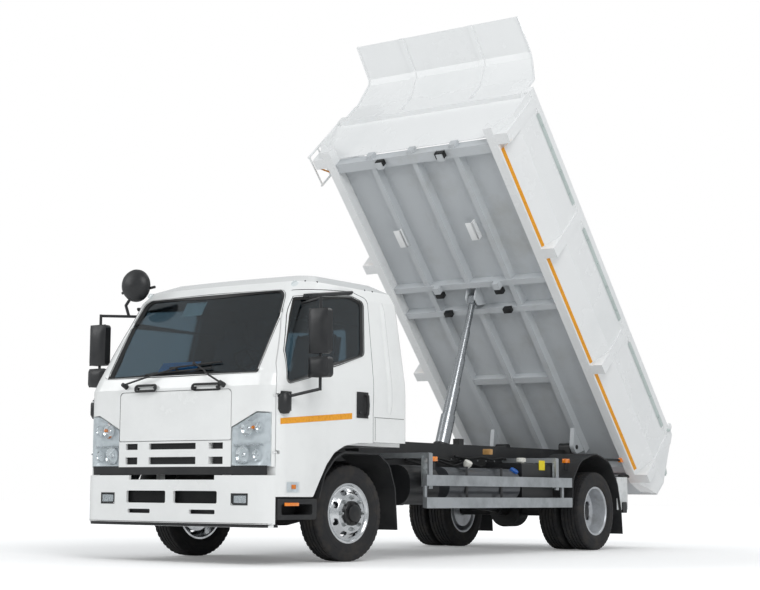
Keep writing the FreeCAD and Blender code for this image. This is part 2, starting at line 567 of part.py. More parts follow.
GUARD_LENGTH = "guard_rear - guard_front"
guard_rails = [box("guard_rail_%d" % i, (28, GUARD_LENGTH, 100), ("guard_x - 28", "guard_front", z)) for i, z in enumerate((460, 668))]
guard_ends = [box("guard_end_%d" % i, (20, 40, 300), ("guard_x - 45", y, 465))
              for i, y in enumerate(("guard_front", "guard_rear - 180"))]
guard_posts = []
for i, y in enumerate((1110, 3530)):
    guard_posts.append(box("guard_post_%d" % i, (20, 60, 330), ("guard_x - 48", y, 640)))
    guard_posts.append(box("guard_arm_%d" % i, ("guard_x - 40 - frame_width / 2", 60, 50), ("frame_width / 2", y, 925)))
node(pair("guards", join("guard_left", guard_rails + guard_ends + guard_posts)), "side_guards")

underrun_bar = prism("underrun_bar", "YZ", [(5045, 395, 15), (5145, 395, 15), (5145, 515, 15), (5045, 515, 15)], -1080, 2160)
underrun_legs = [box("underrun_leg_%d" % i, (60, 110, "frame_top - rail_height - 450"), (x, 4950, 450))
                 for i, x in enumerate((302, -362))]
underrun_feet = [box("underrun_foot_%d" % i, (60, 60, 60), (x, 5000, 450)) for i, x in enumerate((302, -362))]
lamp_boxes = [box("lamp_box_%d" % i, (420, 90, 215), (x, 5090, 590)) for i, x in enumerate((640, -1060))]
lamp_arms = [box("lamp_arm_%d" % i, (650, 40, 55), (x, 5060, 745)) for i, x in enumerate((340, -990))]
node(join("underrun_all", [underrun_bar] + underrun_legs + underrun_feet + lamp_boxes + lamp_arms), "rear_underrun")

# ---------------------------------------------------------------- cab skin: nested lofts of the same sections
SECTIONS = [  # height, half width, front, rear, front corner, rear corner
    ("door_bottom", "cab_half", "cab_front", "cab_rear", 170, 60),
    ("belt", "cab_half", "cab_front", "cab_rear", 170, 60),
    ("belt + 100", "cab_half - 5", "cab_front + 42", "cab_rear", 190, 60),
    ("roof_top - 180", "cab_half - 100", "cab_front + 482", "cab_rear - 22", 200, 70),
    ("roof_top - 80", "cab_half - 140", "cab_front + 582", "cab_rear - 55", 200, 70),
    ("roof_top", "cab_half - 285", "cab_front + 802", "cab_rear - 177", 150, 80),
]


def cab_loft(name, depth):
    """Closed solid of the cab's outer form, set in from it by a depth on every side but below."""
    sketches = []
    for row, (height, half, front, rear, corner, rear_corner) in enumerate(SECTIONS):
        sketch = doc.addObject("Sketcher::SketchObject", "%s_section_%d" % (name, row))
        side, nose, back = "%s - %s" % (half, depth), "%s + %s" % (front, depth), "%s - %s" % (rear, depth)
        points = [(side, back, rear_corner - depth * 0.8), (side, "%s + %s" % (nose, BOW), corner - depth), (0, nose, 7000),
                  ("-(%s)" % side, "%s + %s" % (nose, BOW), corner - depth), ("-(%s)" % side, back, rear_corner - depth * 0.8)]
        draw(sketch, points)
        down = depth if row > 3 else depth * row / 5
        sketch.setExpression(".Placement.Base.z", bind("%s - %s" % (height, down if row else 50 * bool(depth))))
        sketches.append(sketch)
    loft = doc.addObject("Part::Loft", name)
    loft.Sections = sketches
    loft.Solid = True
    loft.Ruled = True
    return loft


outer = cab_loft("cab_outer", 0)
glass_out = cab_loft("cab_glass_out", 20)
glass_in = cab_loft("cab_glass_in", 26)
inner = cab_loft("cab_inner", 60)
walls = cut("cab_walls", outer, inner)
panes = cut("cab_panes", glass_out, glass_in)
cover = cut("cab_cover", outer, glass_out)
lining = cut("cab_lining", glass_in, inner)

DOOR = [  # y, z, radius, then which way the outline grows along y and z
    ("door_front", "door_bottom", 0, -1, -1), ("door_front", "belt", 300, -1, 0), (-1095, 1662, 0, -1, 0.4),
    (-885, 2070, 600, -1, 0.4), (-735, 2325, 40, -0.7, 1), (-358, 2357, 0, 0, 1), (10, 2380, 0, 0, 1),
    ("door_rear + 43", 2330, 70, 1, 0.8), ("door_rear", 1300, 0, 1, 0), ("door_rear", 1035, 15, 1, -1),
    (-40, 1032, 120, 0, -1), (-240, 1001, 150, 0, -1), (-390, 938, 120, 0.5, -1), (-500, 835, 0, 0.7, -0.7),
    (-592, 703, 0, 1, -0.5), (-687, "door_bottom", 30, 0.5, -1),
]
WINDOW = [
    (-1060, 1492, 40, -1, -1), (-1000, 1781, 0, -1, 0), (-850, 2090, 0, -1, 0.4), (-755, 2262, 30, -1, 1),
    (-10, 2332, 0, 0, 1), (152, 2294, 50, 1, 1), (78, 1810, 60, 1, -1), (-288, 1710, 0, 0, -1),
    (-440, 1673, 100, 0, -1), (-738, 1569, 0, 0, -1),
]


def side_prism(name, table, grow, start="cab_half - 225", length=400):
    """Block through the left side with a table's outline, grown by a distance."""
    points = []
    for y, z, radius, out_y, out_z in table:
        point = ("%s + %s" % (y, out_y * grow), "%s + %s" % (z, out_z * grow))
        points.append(point + (radius,) if radius else point)
    return prism(name, "YZ", points, start, length)


WINDSCREEN = [(950, 1592, 70), (815, 2335, 90), (-815, 2335, 90), (-950, 1592, 70)]
pillars = pair("pillar_zones", side_prism("pillar_zone", DOOR, 50))
windscreen_hole = cut("windscreen_hole", prism("windscreen_block", "XZ", WINDSCREEN, "cab_front - 100", 780), pillars)
REAR_WINDOW = [(420, 1750, 50), (420, 2140, 50), (-420, 2140, 50), (-420, 1750, 50)]
rear_hole = prism("rear_window_hole", "XZ", REAR_WINDOW, "cab_rear - 200", 300)


def lid_prism(name, grow):
    low, high, half = "1030 - %s" % grow, "1452 + %s" % grow, "639 + %s" % grow
    return prism(name, "XZ", [(half, low, 15), (half, high, 40), ("-(%s)" % half, high, 40), ("-(%s)" % half, low, 15)],
                 "cab_front - 100", 500)


lid_hole = lid_prism("lid_hole", 6)
LAMP = [(645, 806), (1200, 806), (1200, 1246), (905, 1262, 20), (645, 1136)]
lamp_hole = prism("lamp_hole", "XZ", LAMP, "cab_front - 100", "door_front - cab_front + 72")
grille_hole = prism("grille_hole", "XZ", [(645, 806), (645, 1024), (-645, 1024), (-645, 806)], "cab_front - 100", 360)
door_hole = side_prism("door_hole", DOOR, 6)
door_holes = [door_hole, mirrored(door_hole)]

HINGE_X = "cab_half - 31"
HINGE_Y = "door_front + 7"
HINGES = [870, 1340]  # height of each hinge's lower end
PIN = 5
door_pins, door_barrels, door_recesses = [], [], []
for i, low in enumerate(HINGES):
    door_pins.append(rod("door_pin_%d" % i, PIN, 60, (HINGE_X, HINGE_Y, low), "Z"))
    door_pins.append(box("door_arm_%d" % i, (16, 34, 14), ("cab_half - 44", "door_front - 26", low + 46)))
    barrel = rod("door_barrel_%d" % i, 9, 40, (HINGE_X, HINGE_Y, low), "Z")
    door_barrels.append(barrel)
    door_recesses.append(box("door_recess_%d" % i, (60, 60, 28), ("cab_half - 54", "door_front - 30", low + 40.3)))
    door_recesses.append(rod("door_bore_%d" % i, "%d + running_gap" % PIN, 80, (HINGE_X, HINGE_Y, low - 10), "Z"))

node(pair("lamps", cut("lamp_left", common("lamp_block", walls, lamp_hole), door_hole)), "headlamps")

GRILLE_SLOTS = [  # low, high, inner x, outer x
    (955, 1008, -270, 270), (955, 1008, 410, 560), (955, 1008, -560, -410),
    (828, 890, -270, 270), (828, 890, 410, 560), (828, 890, -560, -410),
]
slots = [box("grille_slot_%d" % i, ("%s - (%s)" % (b, a), 500, high - low), (a, "cab_front - 100", low))
         for i, (low, high, a, b) in enumerate(GRILLE_SLOTS)]
node(cut("grille_open", common("grille_block", walls, grille_hole), join("grille_slots", slots)), "grille")

openings = join("cab_openings", [windscreen_hole, rear_hole, lid_hole, lamp_hole, mirrored(lamp_hole), grille_hole] + door_holes)
side_low = box("cab_side_cut", ("2 * cab_half + 200", "cab_rear - door_front + 200", "1045 - door_bottom + 50"),
               ("-cab_half - 100", "door_front - 3", "door_bottom - 50"))
front_low = box("cab_front_cut", ("2 * cab_half + 200", 400, "806 - door_bottom + 50"),
                ("-cab_half - 100", "cab_front - 100", "door_bottom - 50"))
shell = cut("cab_frame", cut("cab_trimmed", walls, join("cab_low_cuts", [side_low, front_low])), openings)
FLOOR_EDGE = [("cab_half - 66", "cab_rear - 40"), ("cab_half - 66", -1000), ("cab_half - 185", -1150), (800, "cab_front + 100")]
floor_plate = prism("cab_floor_plate", "XY", FLOOR_EDGE + [("-(%s)" % x, y) for x, y in reversed(FLOOR_EDGE)], "cab_floor", 60)
backing = common("lid_backing", lining, lid_hole)
buffer_zones = [box("buffer_zone_%d_%d" % (x, z), (40, 300, 40), (x, "cab_front - 50", z)) for x in (-600, 560) for z in (1060, 1390)]
buffers = common("lid_buffers", panes, join("buffer_zones", buffer_zones))
toe_strip = box("toe_strip", (1100, 45, 45.7), (-550, "cab_front + 65", "cab_floor + 14.3"))
tilt_blank = prism("tilt_arm", "YZ", [("tilt_y - 22", "tilt_z - 24", 20), ("tilt_y - 22", "cab_floor + 40"),
                                      ("tilt_y + 100", "cab_floor + 40"), ("tilt_y + 100", "cab_floor - 5"),
                                      ("tilt_y + 22", "cab_floor - 20"), ("tilt_y + 22", "tilt_z - 24", 20)], 300, 20)
tilt_arm = cut("tilt_arm_bored", tilt_blank, rod("tilt_bore", "tilt_pin + running_gap", 60, (280, "tilt_y", "tilt_z"), "X"))
node(join("cab_shell_all", [shell, floor_plate, backing, buffers, toe_strip, tilt_arm, mirrored(tilt_arm)]
          + door_pins + [mirrored(pin) for pin in door_pins]), "cab_shell")
node(group("cab_glass_all", [common("windscreen", panes, windscreen_hole), common("rear_window", panes, rear_hole)]), "cab_glass")

lid_body = common("lid_body", cover, lid_prism("lid_outline", 0))
node(lid_body, "front_panel")

door_skin = cut("door_skin", common("door_block", walls, side_prism("door_outline", DOOR, 0)), side_prism("window_hole", WINDOW, 0))
door_body = cut("door_body", join("door_with_barrels", [door_skin] + door_barrels), join("door_recesses", door_recesses))
door_pane = common("door_pane", panes, side_prism("window_outline", WINDOW, 0))
MIRROR_HEADS = [(1190, 1750, 2130), (1200, 1550, 1722)]  # inner x, low, high
heads = [prism("mirror_head_%d" % i, "XZ", [(x, low, 35), (x + 200, low, 35), (x + 200, high, 35), (x, high, 35)], -905, 70)
         for i, (x, low, high) in enumerate(MIRROR_HEADS)]


def strut(name, radius, start, end):
    """Round bar between two points given in sheet expressions."""
    first, last = (Vector(*[val(c) for c in spot]) for spot in (start, end))
    bar = doc.addObject("Part::Cylinder", name)
    bar.Radius = radius
    bar.Height = first.distanceToPoint(last)
    bar.Placement = Placement(first, Rotation(Vector(0, 0, 1), last - first))
    return bar


POST = (1290, -870)
mirror_bars = [strut("mirror_post", 13, POST + (1440,), POST + (2230,)),
               strut("mirror_top_bar", 13, ("cab_half - 138", -700, 2205), POST + (2217,)),
               strut("mirror_low_bar", 13, ("cab_half - 40", -1100, 1370), POST + (1453,)),
               box("mirror_block", (70, 120, 160), ("cab_half - 60", -1125, 1270))]
mirrors = cut("mirrors_trimmed", join("mirrors_left", heads + mirror_bars), outer)
for side in ("left", "right"):
    node(handed(side, door_body), side + "_door")
    node(handed(side, door_pane), side + "_door_glass")
    node(handed(side, mirrors), side + "_mirrors")

# ---------------------------------------------------------------- inside the cab
dash = prism("dash", "YZ", [(-1050, "cab_floor + 70"), (-1120, 1500, 60), (-1060, 1560, 40), (-900, 1545, 40), (-850, 1440, 50),
                            (-900, 1250, 80), (-960, "cab_floor + 70")], -880, 1760)
dash_feet = [box("dash_foot_%d" % i, (60, 90, 20), (x, -1050, "cab_floor + 60")) for i, x in enumerate((-800, 740))]
WHEEL_MID = (500, -740, 1690)
STEER_LEAN = 40
STEER_AXIS = (math.sin(math.radians(STEER_LEAN)), math.cos(math.radians(STEER_LEAN)))


def on_column(distance):
    """Point on the steering column's axis, below the steering wheel."""
    return (WHEEL_MID[0], WHEEL_MID[1] - distance * STEER_AXIS[0], WHEEL_MID[2] - distance * STEER_AXIS[1])


column = strut("column", 32, on_column(380), on_column(30.3))
node(join("dashboard_all", [dash, column] + dash_feet), "dashboard")

SEATS = [(500, 480), (-330, 760)]  # middle x, width
seat_parts = []
for i, (x, width) in enumerate(SEATS):
    left = x - width / 2
    seat_parts.append(join("seat_%d" % i, [
        box("seat_base_%d" % i, (width - 80, 380, 260), (left + 40, -400, "cab_floor + 60")),
        prism("seat_cushion_%d" % i, "YZ", [(-520, 1310, 50), (-520, 1440, 50), (20, 1420), (20, 1310)], left, width),
        prism("seat_back_%d" % i, "YZ", [(-60, 1330), (40, 1330), (230, 2010, 50), (120, 2030, 40)], left, width),
        prism("headrest_%d" % i, "YZ", [(125, 1990), (215, 1990), (250, 2200, 35), (165, 2210, 35)], x - 130, 260),
    ]))
node(group("seats_all", seat_parts), "seats")

ring = doc.addObject("Part::Torus", "wheel_ring")
ring.Radius1 = 205
ring.Radius2 = 15
spokes = [box("wheel_spoke_%d" % i, (200, 30, 16), (-200 * i, -15, -8)) for i in (0, 1)]
spokes.append(box("wheel_spoke_down", (30, 200, 16), (-15, -200, -8)))
boss = rod("wheel_boss", 60, 50, (0, 0, -30), "Z")
node(join("steering_wheel_all", [ring, boss] + spokes), "steering_wheel",
     (WHEEL_MID[0], "front_axle_y + (%s)" % WHEEL_MID[1], WHEEL_MID[2]), (-1, 0, 0), STEER_LEAN)

# ---------------------------------------------------------------- bed: drawn lying down, y and z from its hinge
BED = ((0, "front_axle_y + hinge_y", "hinge_z"), (1, 0, 0), "-bed_tilt")


def along(distance, more=0):
    """The bed's y at a distance forward from its rear end."""
    return "bed_rear - (%s) - (%s)" % (distance, more)


BASE = "bed_base"
FLOOR = "bed_base + bearer_height"
stringer = prism("stringer", "XZ", [("stringer_x - 32", BASE + " + 30"), ("stringer_x + 32", BASE + " + 30"),
                                    ("stringer_x + 45", FLOOR), ("stringer_x - 45", FLOOR)],
                 "-(bed_front) + 140", "bed_front + bed_rear - 560")
middle = prism("stringer_middle", "XZ", [(-28, BASE + " + 30"), (28, BASE + " + 30"), (40, FLOOR), (-40, FLOOR)],
               "-(bed_front) + 140", "bed_front + bed_rear - 560")
CROSS = [  # distance in front of the hinge, width, reach, drop below the floor
    ("bed_wall - 68", 110, "bed_foot - 102", 100),
    ("hoist_eye + 178", 70, "bed_foot - 102", 100),
    ("hoist_eye - 178", 70, "bed_foot - 102", 100),
    ("hoist_eye - 1180", 80, "stringer_x", 80),
    ("-430", 90, "bed_foot - 102", 100),
]
crosses = [box("bed_cross_%d" % i, ("2 * (%s)" % reach, width, drop), ("-(%s)" % reach, "-(%s) - %s" % (at, width / 2), "%s - %s" % (FLOOR, drop)))
           for i, (at, width, reach, drop) in enumerate(CROSS)]
pads = [box("bed_pad_%d" % i, ("rail_flange", 80, "bed_base + bearer_height + hinge_z - 100 - %s - rest_height - 6" % SUB_TOP),
            (RAIL_IN, "-(%s) - 40" % CROSS[i][0], "%s + rest_height + 6 - hinge_z" % SUB_TOP)) for i in (0, 1)]
lug_blank = prism("hinge_lug", "YZ", [(-55, -55, 54), (55, -55, 54), (150, BASE + " + 40"), (-200, BASE + " + 40")], "stringer_x - 25", 50)
lug = cut("hinge_lug_bored", lug_blank, rod("hinge_bore", "hinge_pin + running_gap", 120, ("stringer_x - 60", 0, 0)))
EYE_X = 48
cheek = prism("eye_cheek", "YZ", [("-hoist_eye - 50", BASE + " - 45", 44), ("-hoist_eye + 50", BASE + " - 45", 44),
                                  ("-hoist_eye + 150", FLOOR), ("-hoist_eye - 150", FLOOR)], EYE_X, 16)
middle = cut("stringer_middle_cut", middle, box("eye_space", (120, 286, 200), (-60, "-hoist_eye - 143", BASE)))
eye_pin = rod("eye_pin", 20, 2 * EYE_X + 32, (-EYE_X - 16, "-hoist_eye", BASE))
half_frame = join("bed_frame_side", [stringer, lug, cheek] + pads)
node(join("bed_frame_all", [half_frame, mirrored(half_frame), eye_pin, middle] + crosses), "bed_underframe", *BED)

floor_plate = box("bed_floor_plate", ("2 * (bed_foot - 102)", "bed_front + bed_rear - 180", "sheet"),
                  ("102 - bed_foot", "-bed_front + 180", FLOOR))
apron = prism("bed_apron", "YZ", [("bed_rear - 90", BASE), ("bed_rear", BASE), ("bed_rear + 296", BASE + " + 146"),
                                  ("bed_rear + 290", BASE + " + 154"), ("bed_rear", FLOOR + " + sheet"),
                                  ("bed_rear - 90", FLOOR + " + sheet")], "102 - bed_foot", "2 * (bed_foot - 102)")
node(join("bed_floor_all", [floor_plate, apron]), "bed_floor", *BED)

TOP = "bed_base + bed_height"
RAIL = 100
side_section = [("bed_foot - 102", BASE), ("bed_foot", BASE), ("bed_half", "bed_base + bed_knee"), ("bed_half", TOP + " - %d" % RAIL),
                ("bed_half + 12", TOP + " - %d" % RAIL), ("bed_half + 12", TOP), ("bed_half - 60", TOP),
                ("bed_half - 60", TOP + " - %d" % RAIL), ("bed_half - sheet", TOP + " - %d" % RAIL),
                ("bed_half - sheet", "bed_base + bed_knee + 4"), ("bed_foot - 10", FLOOR + " + sheet"),
                ("bed_foot - 102", FLOOR + " + sheet")]
TAIL = [(0, 0), (300, 150), (200, 310), (-20, 800)]  # behind the rear end, above the lower edge
side_length = prism("side_length", "XZ", side_section, "-bed_front", "bed_front + bed_rear + 350")
side_profile = prism("side_profile", "YZ", [("-bed_front - 10", "0")] + [("bed_rear + %d" % y, "bed_base + %d" % z) for y, z in TAIL]
                     + [("-bed_front - 10", TOP)], "bed_foot - 200", 500)
side_sheet = common("side_sheet", side_length, side_profile)
POSTS = [4630, 3200, 1640, 60]  # distance forward from the rear end
post_outline = [("bed_foot", BASE), ("bed_half + 4", BASE), ("bed_half + 12", "bed_base + bed_knee"), ("bed_half + 12", TOP + " - 60"),
                ("bed_half", TOP + " - 60"), ("bed_half", "bed_base + bed_knee")]
gate_ear = prism("gate_ear", "YZ", [("bed_rear - 165", TOP + " - 50"), ("bed_rear - 85", TOP + " - 50"), ("bed_rear - 85", TOP + " + 80", 35),
                                    ("bed_rear - 165", TOP + " + 80", 35)], "bed_half - 12", 22)
gate_pin = rod("gate_pin", 12, 62, ("bed_half - 50", "bed_rear - 125", TOP + " + 45"))
side_posts = [prism("side_post_%d" % i, "XZ", post_outline, along(at, 60), 120) for i, at in enumerate(POSTS)]
side_left = join("bed_side_solid", [side_sheet, gate_ear, gate_pin] + side_posts)
for side in ("left", "right"):
    node(handed(side, side_left), "bed_%s_side" % side, *BED)

HEAD = [(4600, 128), (4740, 640), (4745, 1045), (4865, 1295), (4930, 1335), (5340, 1365)]  # forward, up
head_line = [(val("bed_rear") - s, val("bed_base") + h) for s, h in HEAD]
HEAD_EDGE = [("bed_foot - 10", FLOOR + " + sheet"), ("bed_half - sheet", "bed_base + bed_knee + 4"), ("bed_half - sheet", TOP + " - %d" % RAIL),
             ("bed_half - 60", TOP + " - %d" % RAIL), ("bed_half - 60", TOP + " + 190"), ("bed_half - 200", TOP + " + 600")]


def head_outline(name, inset):
    """Block of the headboard's outline seen from the front, set in at the sides."""
    right = [("-(%s - %s)" % (x, inset), z) for x, z in reversed(HEAD_EDGE)]
    return prism(name, "XZ", [("%s - %s" % (x, inset), z) for x, z in HEAD_EDGE] + right, along(5500), 1000)


head_face = head_outline("head_outline", 0)
head_sheet = common("head_sheet", prism("head_blank", "YZ", thick_line(head_line, -8), "-bed_half", "2 * bed_half"), head_face)
ledge = box("head_ledge", ("2 * (bed_half - 68)", 60, 50), ("68 - bed_half", along(4800), "bed_base + 625"))
rib_band = prism("head_band", "YZ", thick_line([(y - 4, z) for y, z in head_line[1:]], -24), "-bed_half", "2 * bed_half")
rib_places = [box("head_rib_%d" % i, (60, 1500, 1500), (x - 30, along(5600), "bed_base + 670")) for i, x in enumerate((-450, 450))]
edges = cut("head_edges", head_outline("head_edge_outline", 0), head_outline("head_edge_inside", 8))
ribs = common("head_ribs", rib_band, join("head_rib_zones", rib_places + [edges]))
above = box("head_upper_zone", ("2 * bed_half", 1500, 1500), ("-bed_half", along(5600), TOP))
ribs = common("head_ribs_upper", ribs, join("head_upper_zones", [above] + rib_places))
node(join("headboard_all", [head_sheet, ledge, ribs]), "bed_headboard", *BED)

GATE = [(-14, 790), (206, 310), (308, 146)]
gate_line = [(y + val("bed_rear"), z + val("bed_base")) for y, z in GATE]
gate_blank = prism("gate_blank", "YZ", thick_line(gate_line, -8), "-bed_half", "2 * bed_half")
gate_trim = prism("gate_trim", "XZ", [("bed_foot + 60", BASE + " + 110"), ("bed_half", "bed_base + bed_knee"), ("bed_half", TOP + " + 50"),
                                      ("-bed_half", TOP + " + 50"), ("-bed_half", "bed_base + bed_knee"),
                                      ("-(bed_foot + 60)", BASE + " + 110")], "bed_rear - 100", 600)
gate = common("gate_sheet", gate_blank, gate_trim)
gate_rib_line = [(y + 6, z) for y, z in gate_line[:2]]
gate_ribs = [prism("gate_rib_%d" % i, "YZ", thick_line(gate_rib_line, -50), x, 80) for i, x in enumerate((-900, -300, 220, 820))]
GATE_Z = TOP + " + 45"
gate_arm = prism("gate_arm", "YZ", [("bed_rear - 150", TOP + " + 20", 24), ("bed_rear - 150", TOP + " + 70", 24), ("bed_rear + 20", TOP + " + 70", 24),
                                    ("bed_rear + 60", TOP + " - 100"), ("bed_rear + 33", TOP + " - 100"), ("bed_rear - 8", TOP + " - 10"),
                                    ("bed_rear - 8", TOP + " + 20")], "bed_half - 50", 30)
gate_bore = rod("gate_bore", 12.05, 80, ("bed_half - 70", "bed_rear - 125", GATE_Z))
gate_arm = cut("gate_arm_bored", gate_arm, gate_bore)
node(join("gate_all", [gate, gate_arm, mirrored(gate_arm)] + gate_ribs), "tailgate", *BED)

ladder_rails = [rod("ladder_rail_%d" % i, 12, 440, ("bed_half + 90", along(at), BASE + " + 60"), "Z") for i, at in enumerate((4700, 4330))]
rungs = [rod("ladder_rung_%d" % i, 10, 370, ("bed_half + 90", along(4700), BASE + " + %d" % z), "Y") for i, z in enumerate((80, 280, 480))]
stays = [rod("ladder_stay_%d_%d" % (i, z), 9, 100, ("bed_half", along(at), BASE + " + %d" % z), "X")
         for i, at in enumerate((4700, 4330)) for z in (300, 470)]
node(mirrored(join("ladder_left", ladder_rails + rungs + stays)), "bed_ladder", *BED)

# ---------------------------------------------------------------- hoist: drawn upright from its trunnion
EYE_Y = "(hinge_y - hoist_eye * cos(bed_tilt) + bed_base * sin(bed_tilt) - hoist_y)"
EYE_Z = "(hinge_z + hoist_eye * sin(bed_tilt) + bed_base * cos(bed_tilt) - hoist_z)"
HOIST = ((0, "front_axle_y + hoist_y", "hoist_z"), (-1, 0, 0), "atan(%s / %s)" % (EYE_Y, EYE_Z))
REACH = "sqrt(%s ^ 2 + %s ^ 2)" % (EYE_Y, EYE_Z)
TUBES = [  # outside radius, bore radius, lower end when shut, upper end when shut
    (95, 78.3, -155, 282), (78, 66.3, -120, 286), (66, 55.3, -120, 290), (55, 45.3, -120, 294),
    (45, 35.3, -120, 298), (35, 0, -120, 312),
]
for stage, (radius, bore, low, high) in enumerate(TUBES):
    out = "hoist_stroke * %d / 5" % stage
    tube = rod("hoist_tube_%d" % stage, radius, high - low, (0, 0, "%s + %s" % (out, low)), "Z")
    if stage == 0:
        well = rod("hoist_well", bore, high - low, (0, 0, low + 25), "Z")
        trunnions = rod("hoist_trunnions", 25, 276, (-138, 0, 0))
        node(cut("hoist_barrel_open", join("hoist_barrel_solid", [tube, trunnions]), well), "hoist_barrel", *HOIST)
    elif bore:
        hole = rod("hoist_hole_%d" % stage, bore, high - low + 20, (0, 0, "%s + %s" % (out, low - 10)), "Z")
        node(cut("hoist_stage_open_%d" % stage, tube, hole), "hoist_stage_%d" % stage, *HOIST)
    else:
        head = prism("hoist_head", "YZ", [(-46, REACH + " - 62"), (46, REACH + " - 62"), (46, REACH + " + 72", 45.9),
                                          (-46, REACH + " + 72", 45.9)], 6 - EYE_X, 2 * EYE_X - 12)
        slot = prism("hoist_slot", "YZ", [(-26, REACH + " - 24.5", 25.9), (26, REACH + " - 24.5", 25.9), (26, REACH + " + 52", 25.9),
                                          (-26, REACH + " + 52", 25.9)], -EYE_X, 2 * EYE_X)
        node(cut("hoist_rod_open", join("hoist_rod", [tube, head]), slot), "hoist_stage_%d" % stage, *HOIST)

# ---------------------------------------------------------------- check every sub-part and write it out
doc.recompute()
failed = [obj.Name for obj in doc.Objects if {"Invalid", "Error"} & set(obj.State)]
if failed:
    raise RuntimeError("not built: " + ", ".join(failed))
os.makedirs("parts", exist_ok=True)
for obj in NODES:
    if obj.Shape.isNull() or not obj.Shape.isValid() or obj.Shape.Volume <= 0:
        raise RuntimeError("bad shape: " + obj.Label)
    obj.Shape.exportStep("parts/%s.step" % obj.Label)
print(len(NODES), "sub-parts")
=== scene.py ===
import json
import math
import bmesh
import bpy
from mathutils import Matrix, Vector
from mathutils.bvhtree import BVHTree

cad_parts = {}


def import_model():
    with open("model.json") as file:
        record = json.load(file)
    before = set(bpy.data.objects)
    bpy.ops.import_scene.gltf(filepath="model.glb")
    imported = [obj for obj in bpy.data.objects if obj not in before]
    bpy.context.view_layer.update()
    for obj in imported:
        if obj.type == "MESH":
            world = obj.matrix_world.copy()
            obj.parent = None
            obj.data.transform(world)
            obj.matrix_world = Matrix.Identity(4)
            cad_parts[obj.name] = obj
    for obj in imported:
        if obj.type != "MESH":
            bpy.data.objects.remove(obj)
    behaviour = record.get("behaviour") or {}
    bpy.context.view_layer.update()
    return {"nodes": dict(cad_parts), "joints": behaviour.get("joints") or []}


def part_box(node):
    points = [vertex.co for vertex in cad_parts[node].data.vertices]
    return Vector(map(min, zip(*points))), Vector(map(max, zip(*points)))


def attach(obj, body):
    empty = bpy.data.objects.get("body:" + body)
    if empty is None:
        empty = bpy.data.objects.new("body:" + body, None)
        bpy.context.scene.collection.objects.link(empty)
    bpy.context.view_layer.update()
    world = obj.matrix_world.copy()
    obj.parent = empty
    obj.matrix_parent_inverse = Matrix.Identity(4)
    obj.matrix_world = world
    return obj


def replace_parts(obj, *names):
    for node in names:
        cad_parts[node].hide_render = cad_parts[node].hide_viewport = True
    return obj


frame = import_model()
nodes = frame["nodes"]
joints = {j["name"]: j for j in frame["joints"]}

# ---------------------------------------------------------------- chassis frame
# Pressed steel channels, riveted and bolted, sprayed satin black over primer.
# Everything below hangs from these rails; road dust lies on them in patches.

SHARP_EDGE = 0.6  # radians between two faces, past which an edge is rounded


def colour(text):
    """Linear RGBA from an sRGB hex colour."""
    parts = [int(text[i:i + 2], 16) / 255 for i in (0, 2, 4)]
    return [p / 12.92 if p <= 0.04045 else ((p + 0.055) / 1.055) ** 2.4 for p in parts] + [1]


def add(mat, kind, values=(), links=()):
    """Node of a kind with its settings, in a material or world; links are (input, node, output)."""
    node = mat.node_tree.nodes.new("ShaderNode" + kind)
    for key, value in dict(values).items():
        if isinstance(key, str) and key.islower():
            setattr(node, key, value)
        else:
            node.inputs[key].default_value = value
    for here, other, there in links:
        mat.node_tree.links.new(node.inputs[here], other.outputs[there])
    return node


def blank(name):
    """Empty material and the coordinates that its nodes start from."""
    mat = bpy.data.materials.new(name)
    mat.use_nodes = True
    mat.node_tree.nodes.clear()
    return mat, add(mat, "TexCoord")


def surface(name, base, worn, roughness, patch=0.3, grain=0.002, relief=0.0003, share=0.45,
            metallic=0.0, **sockets):
    """Finish of two mottled colours: patch and grain are sizes in metres, relief the bump height."""
    mat, place = blank(name)
    broad = add(mat, "TexNoise", {"Scale": 1 / patch, "Detail": 6.0, "Roughness": 0.62}, [("Vector", place, "Object")])
    fine = add(mat, "TexNoise", {"Scale": 1 / grain, "Detail": 3.0}, [("Vector", place, "Object")])
    spread = add(mat, "MapRange", {"From Min": share, "From Max": share + 0.3}, [("Value", broad, "Fac")])
    tint = add(mat, "Mix", {"data_type": "RGBA", 6: colour(base), 7: colour(worn)}, [(0, spread, "Result")])
    dull = add(mat, "MapRange", {"To Min": roughness, "To Max": min(1, roughness + 0.16)},
               [("Value", spread, "Result")])
    bump = add(mat, "Bump", {"Strength": 0.6, "Distance": relief}, [("Height", fine, "Fac")])
    shader = add(mat, "BsdfPrincipled", {"Metallic": metallic, **sockets},
                 [("Base Color", tint, 2), ("Roughness", dull, "Result"), ("Normal", bump, "Normal")])
    add(mat, "OutputMaterial", (), [("Surface", shader, "BSDF")])
    return mat


def finish_cad(mat, *names):
    """Gives carried-over frame nodes a material."""
    for name in names:
        nodes[name].data.materials.clear()
        nodes[name].data.materials.append(mat)


def rod(bm, start, end, radius, radius_end=None, segments=16):
    """Round bar between two points."""
    start, end = Vector(start), Vector(end)
    turn = (end - start).to_track_quat("Z", "Y").to_matrix().to_4x4()
    bmesh.ops.create_cone(bm, cap_ends=True, segments=segments, radius1=radius, depth=(end - start).length,
                          radius2=radius if radius_end is None else radius_end,
                          matrix=Matrix.Translation((start + end) / 2) @ turn)


def placed(bm, name, mat):
    """Object of one material in the scene."""
    mesh = bpy.data.meshes.new(name)
    bm.to_mesh(mesh)
    bm.free()
    mesh.materials.append(mat)
    piece = bpy.data.objects.new(name, mesh)
    bpy.context.scene.collection.objects.link(piece)
    return piece


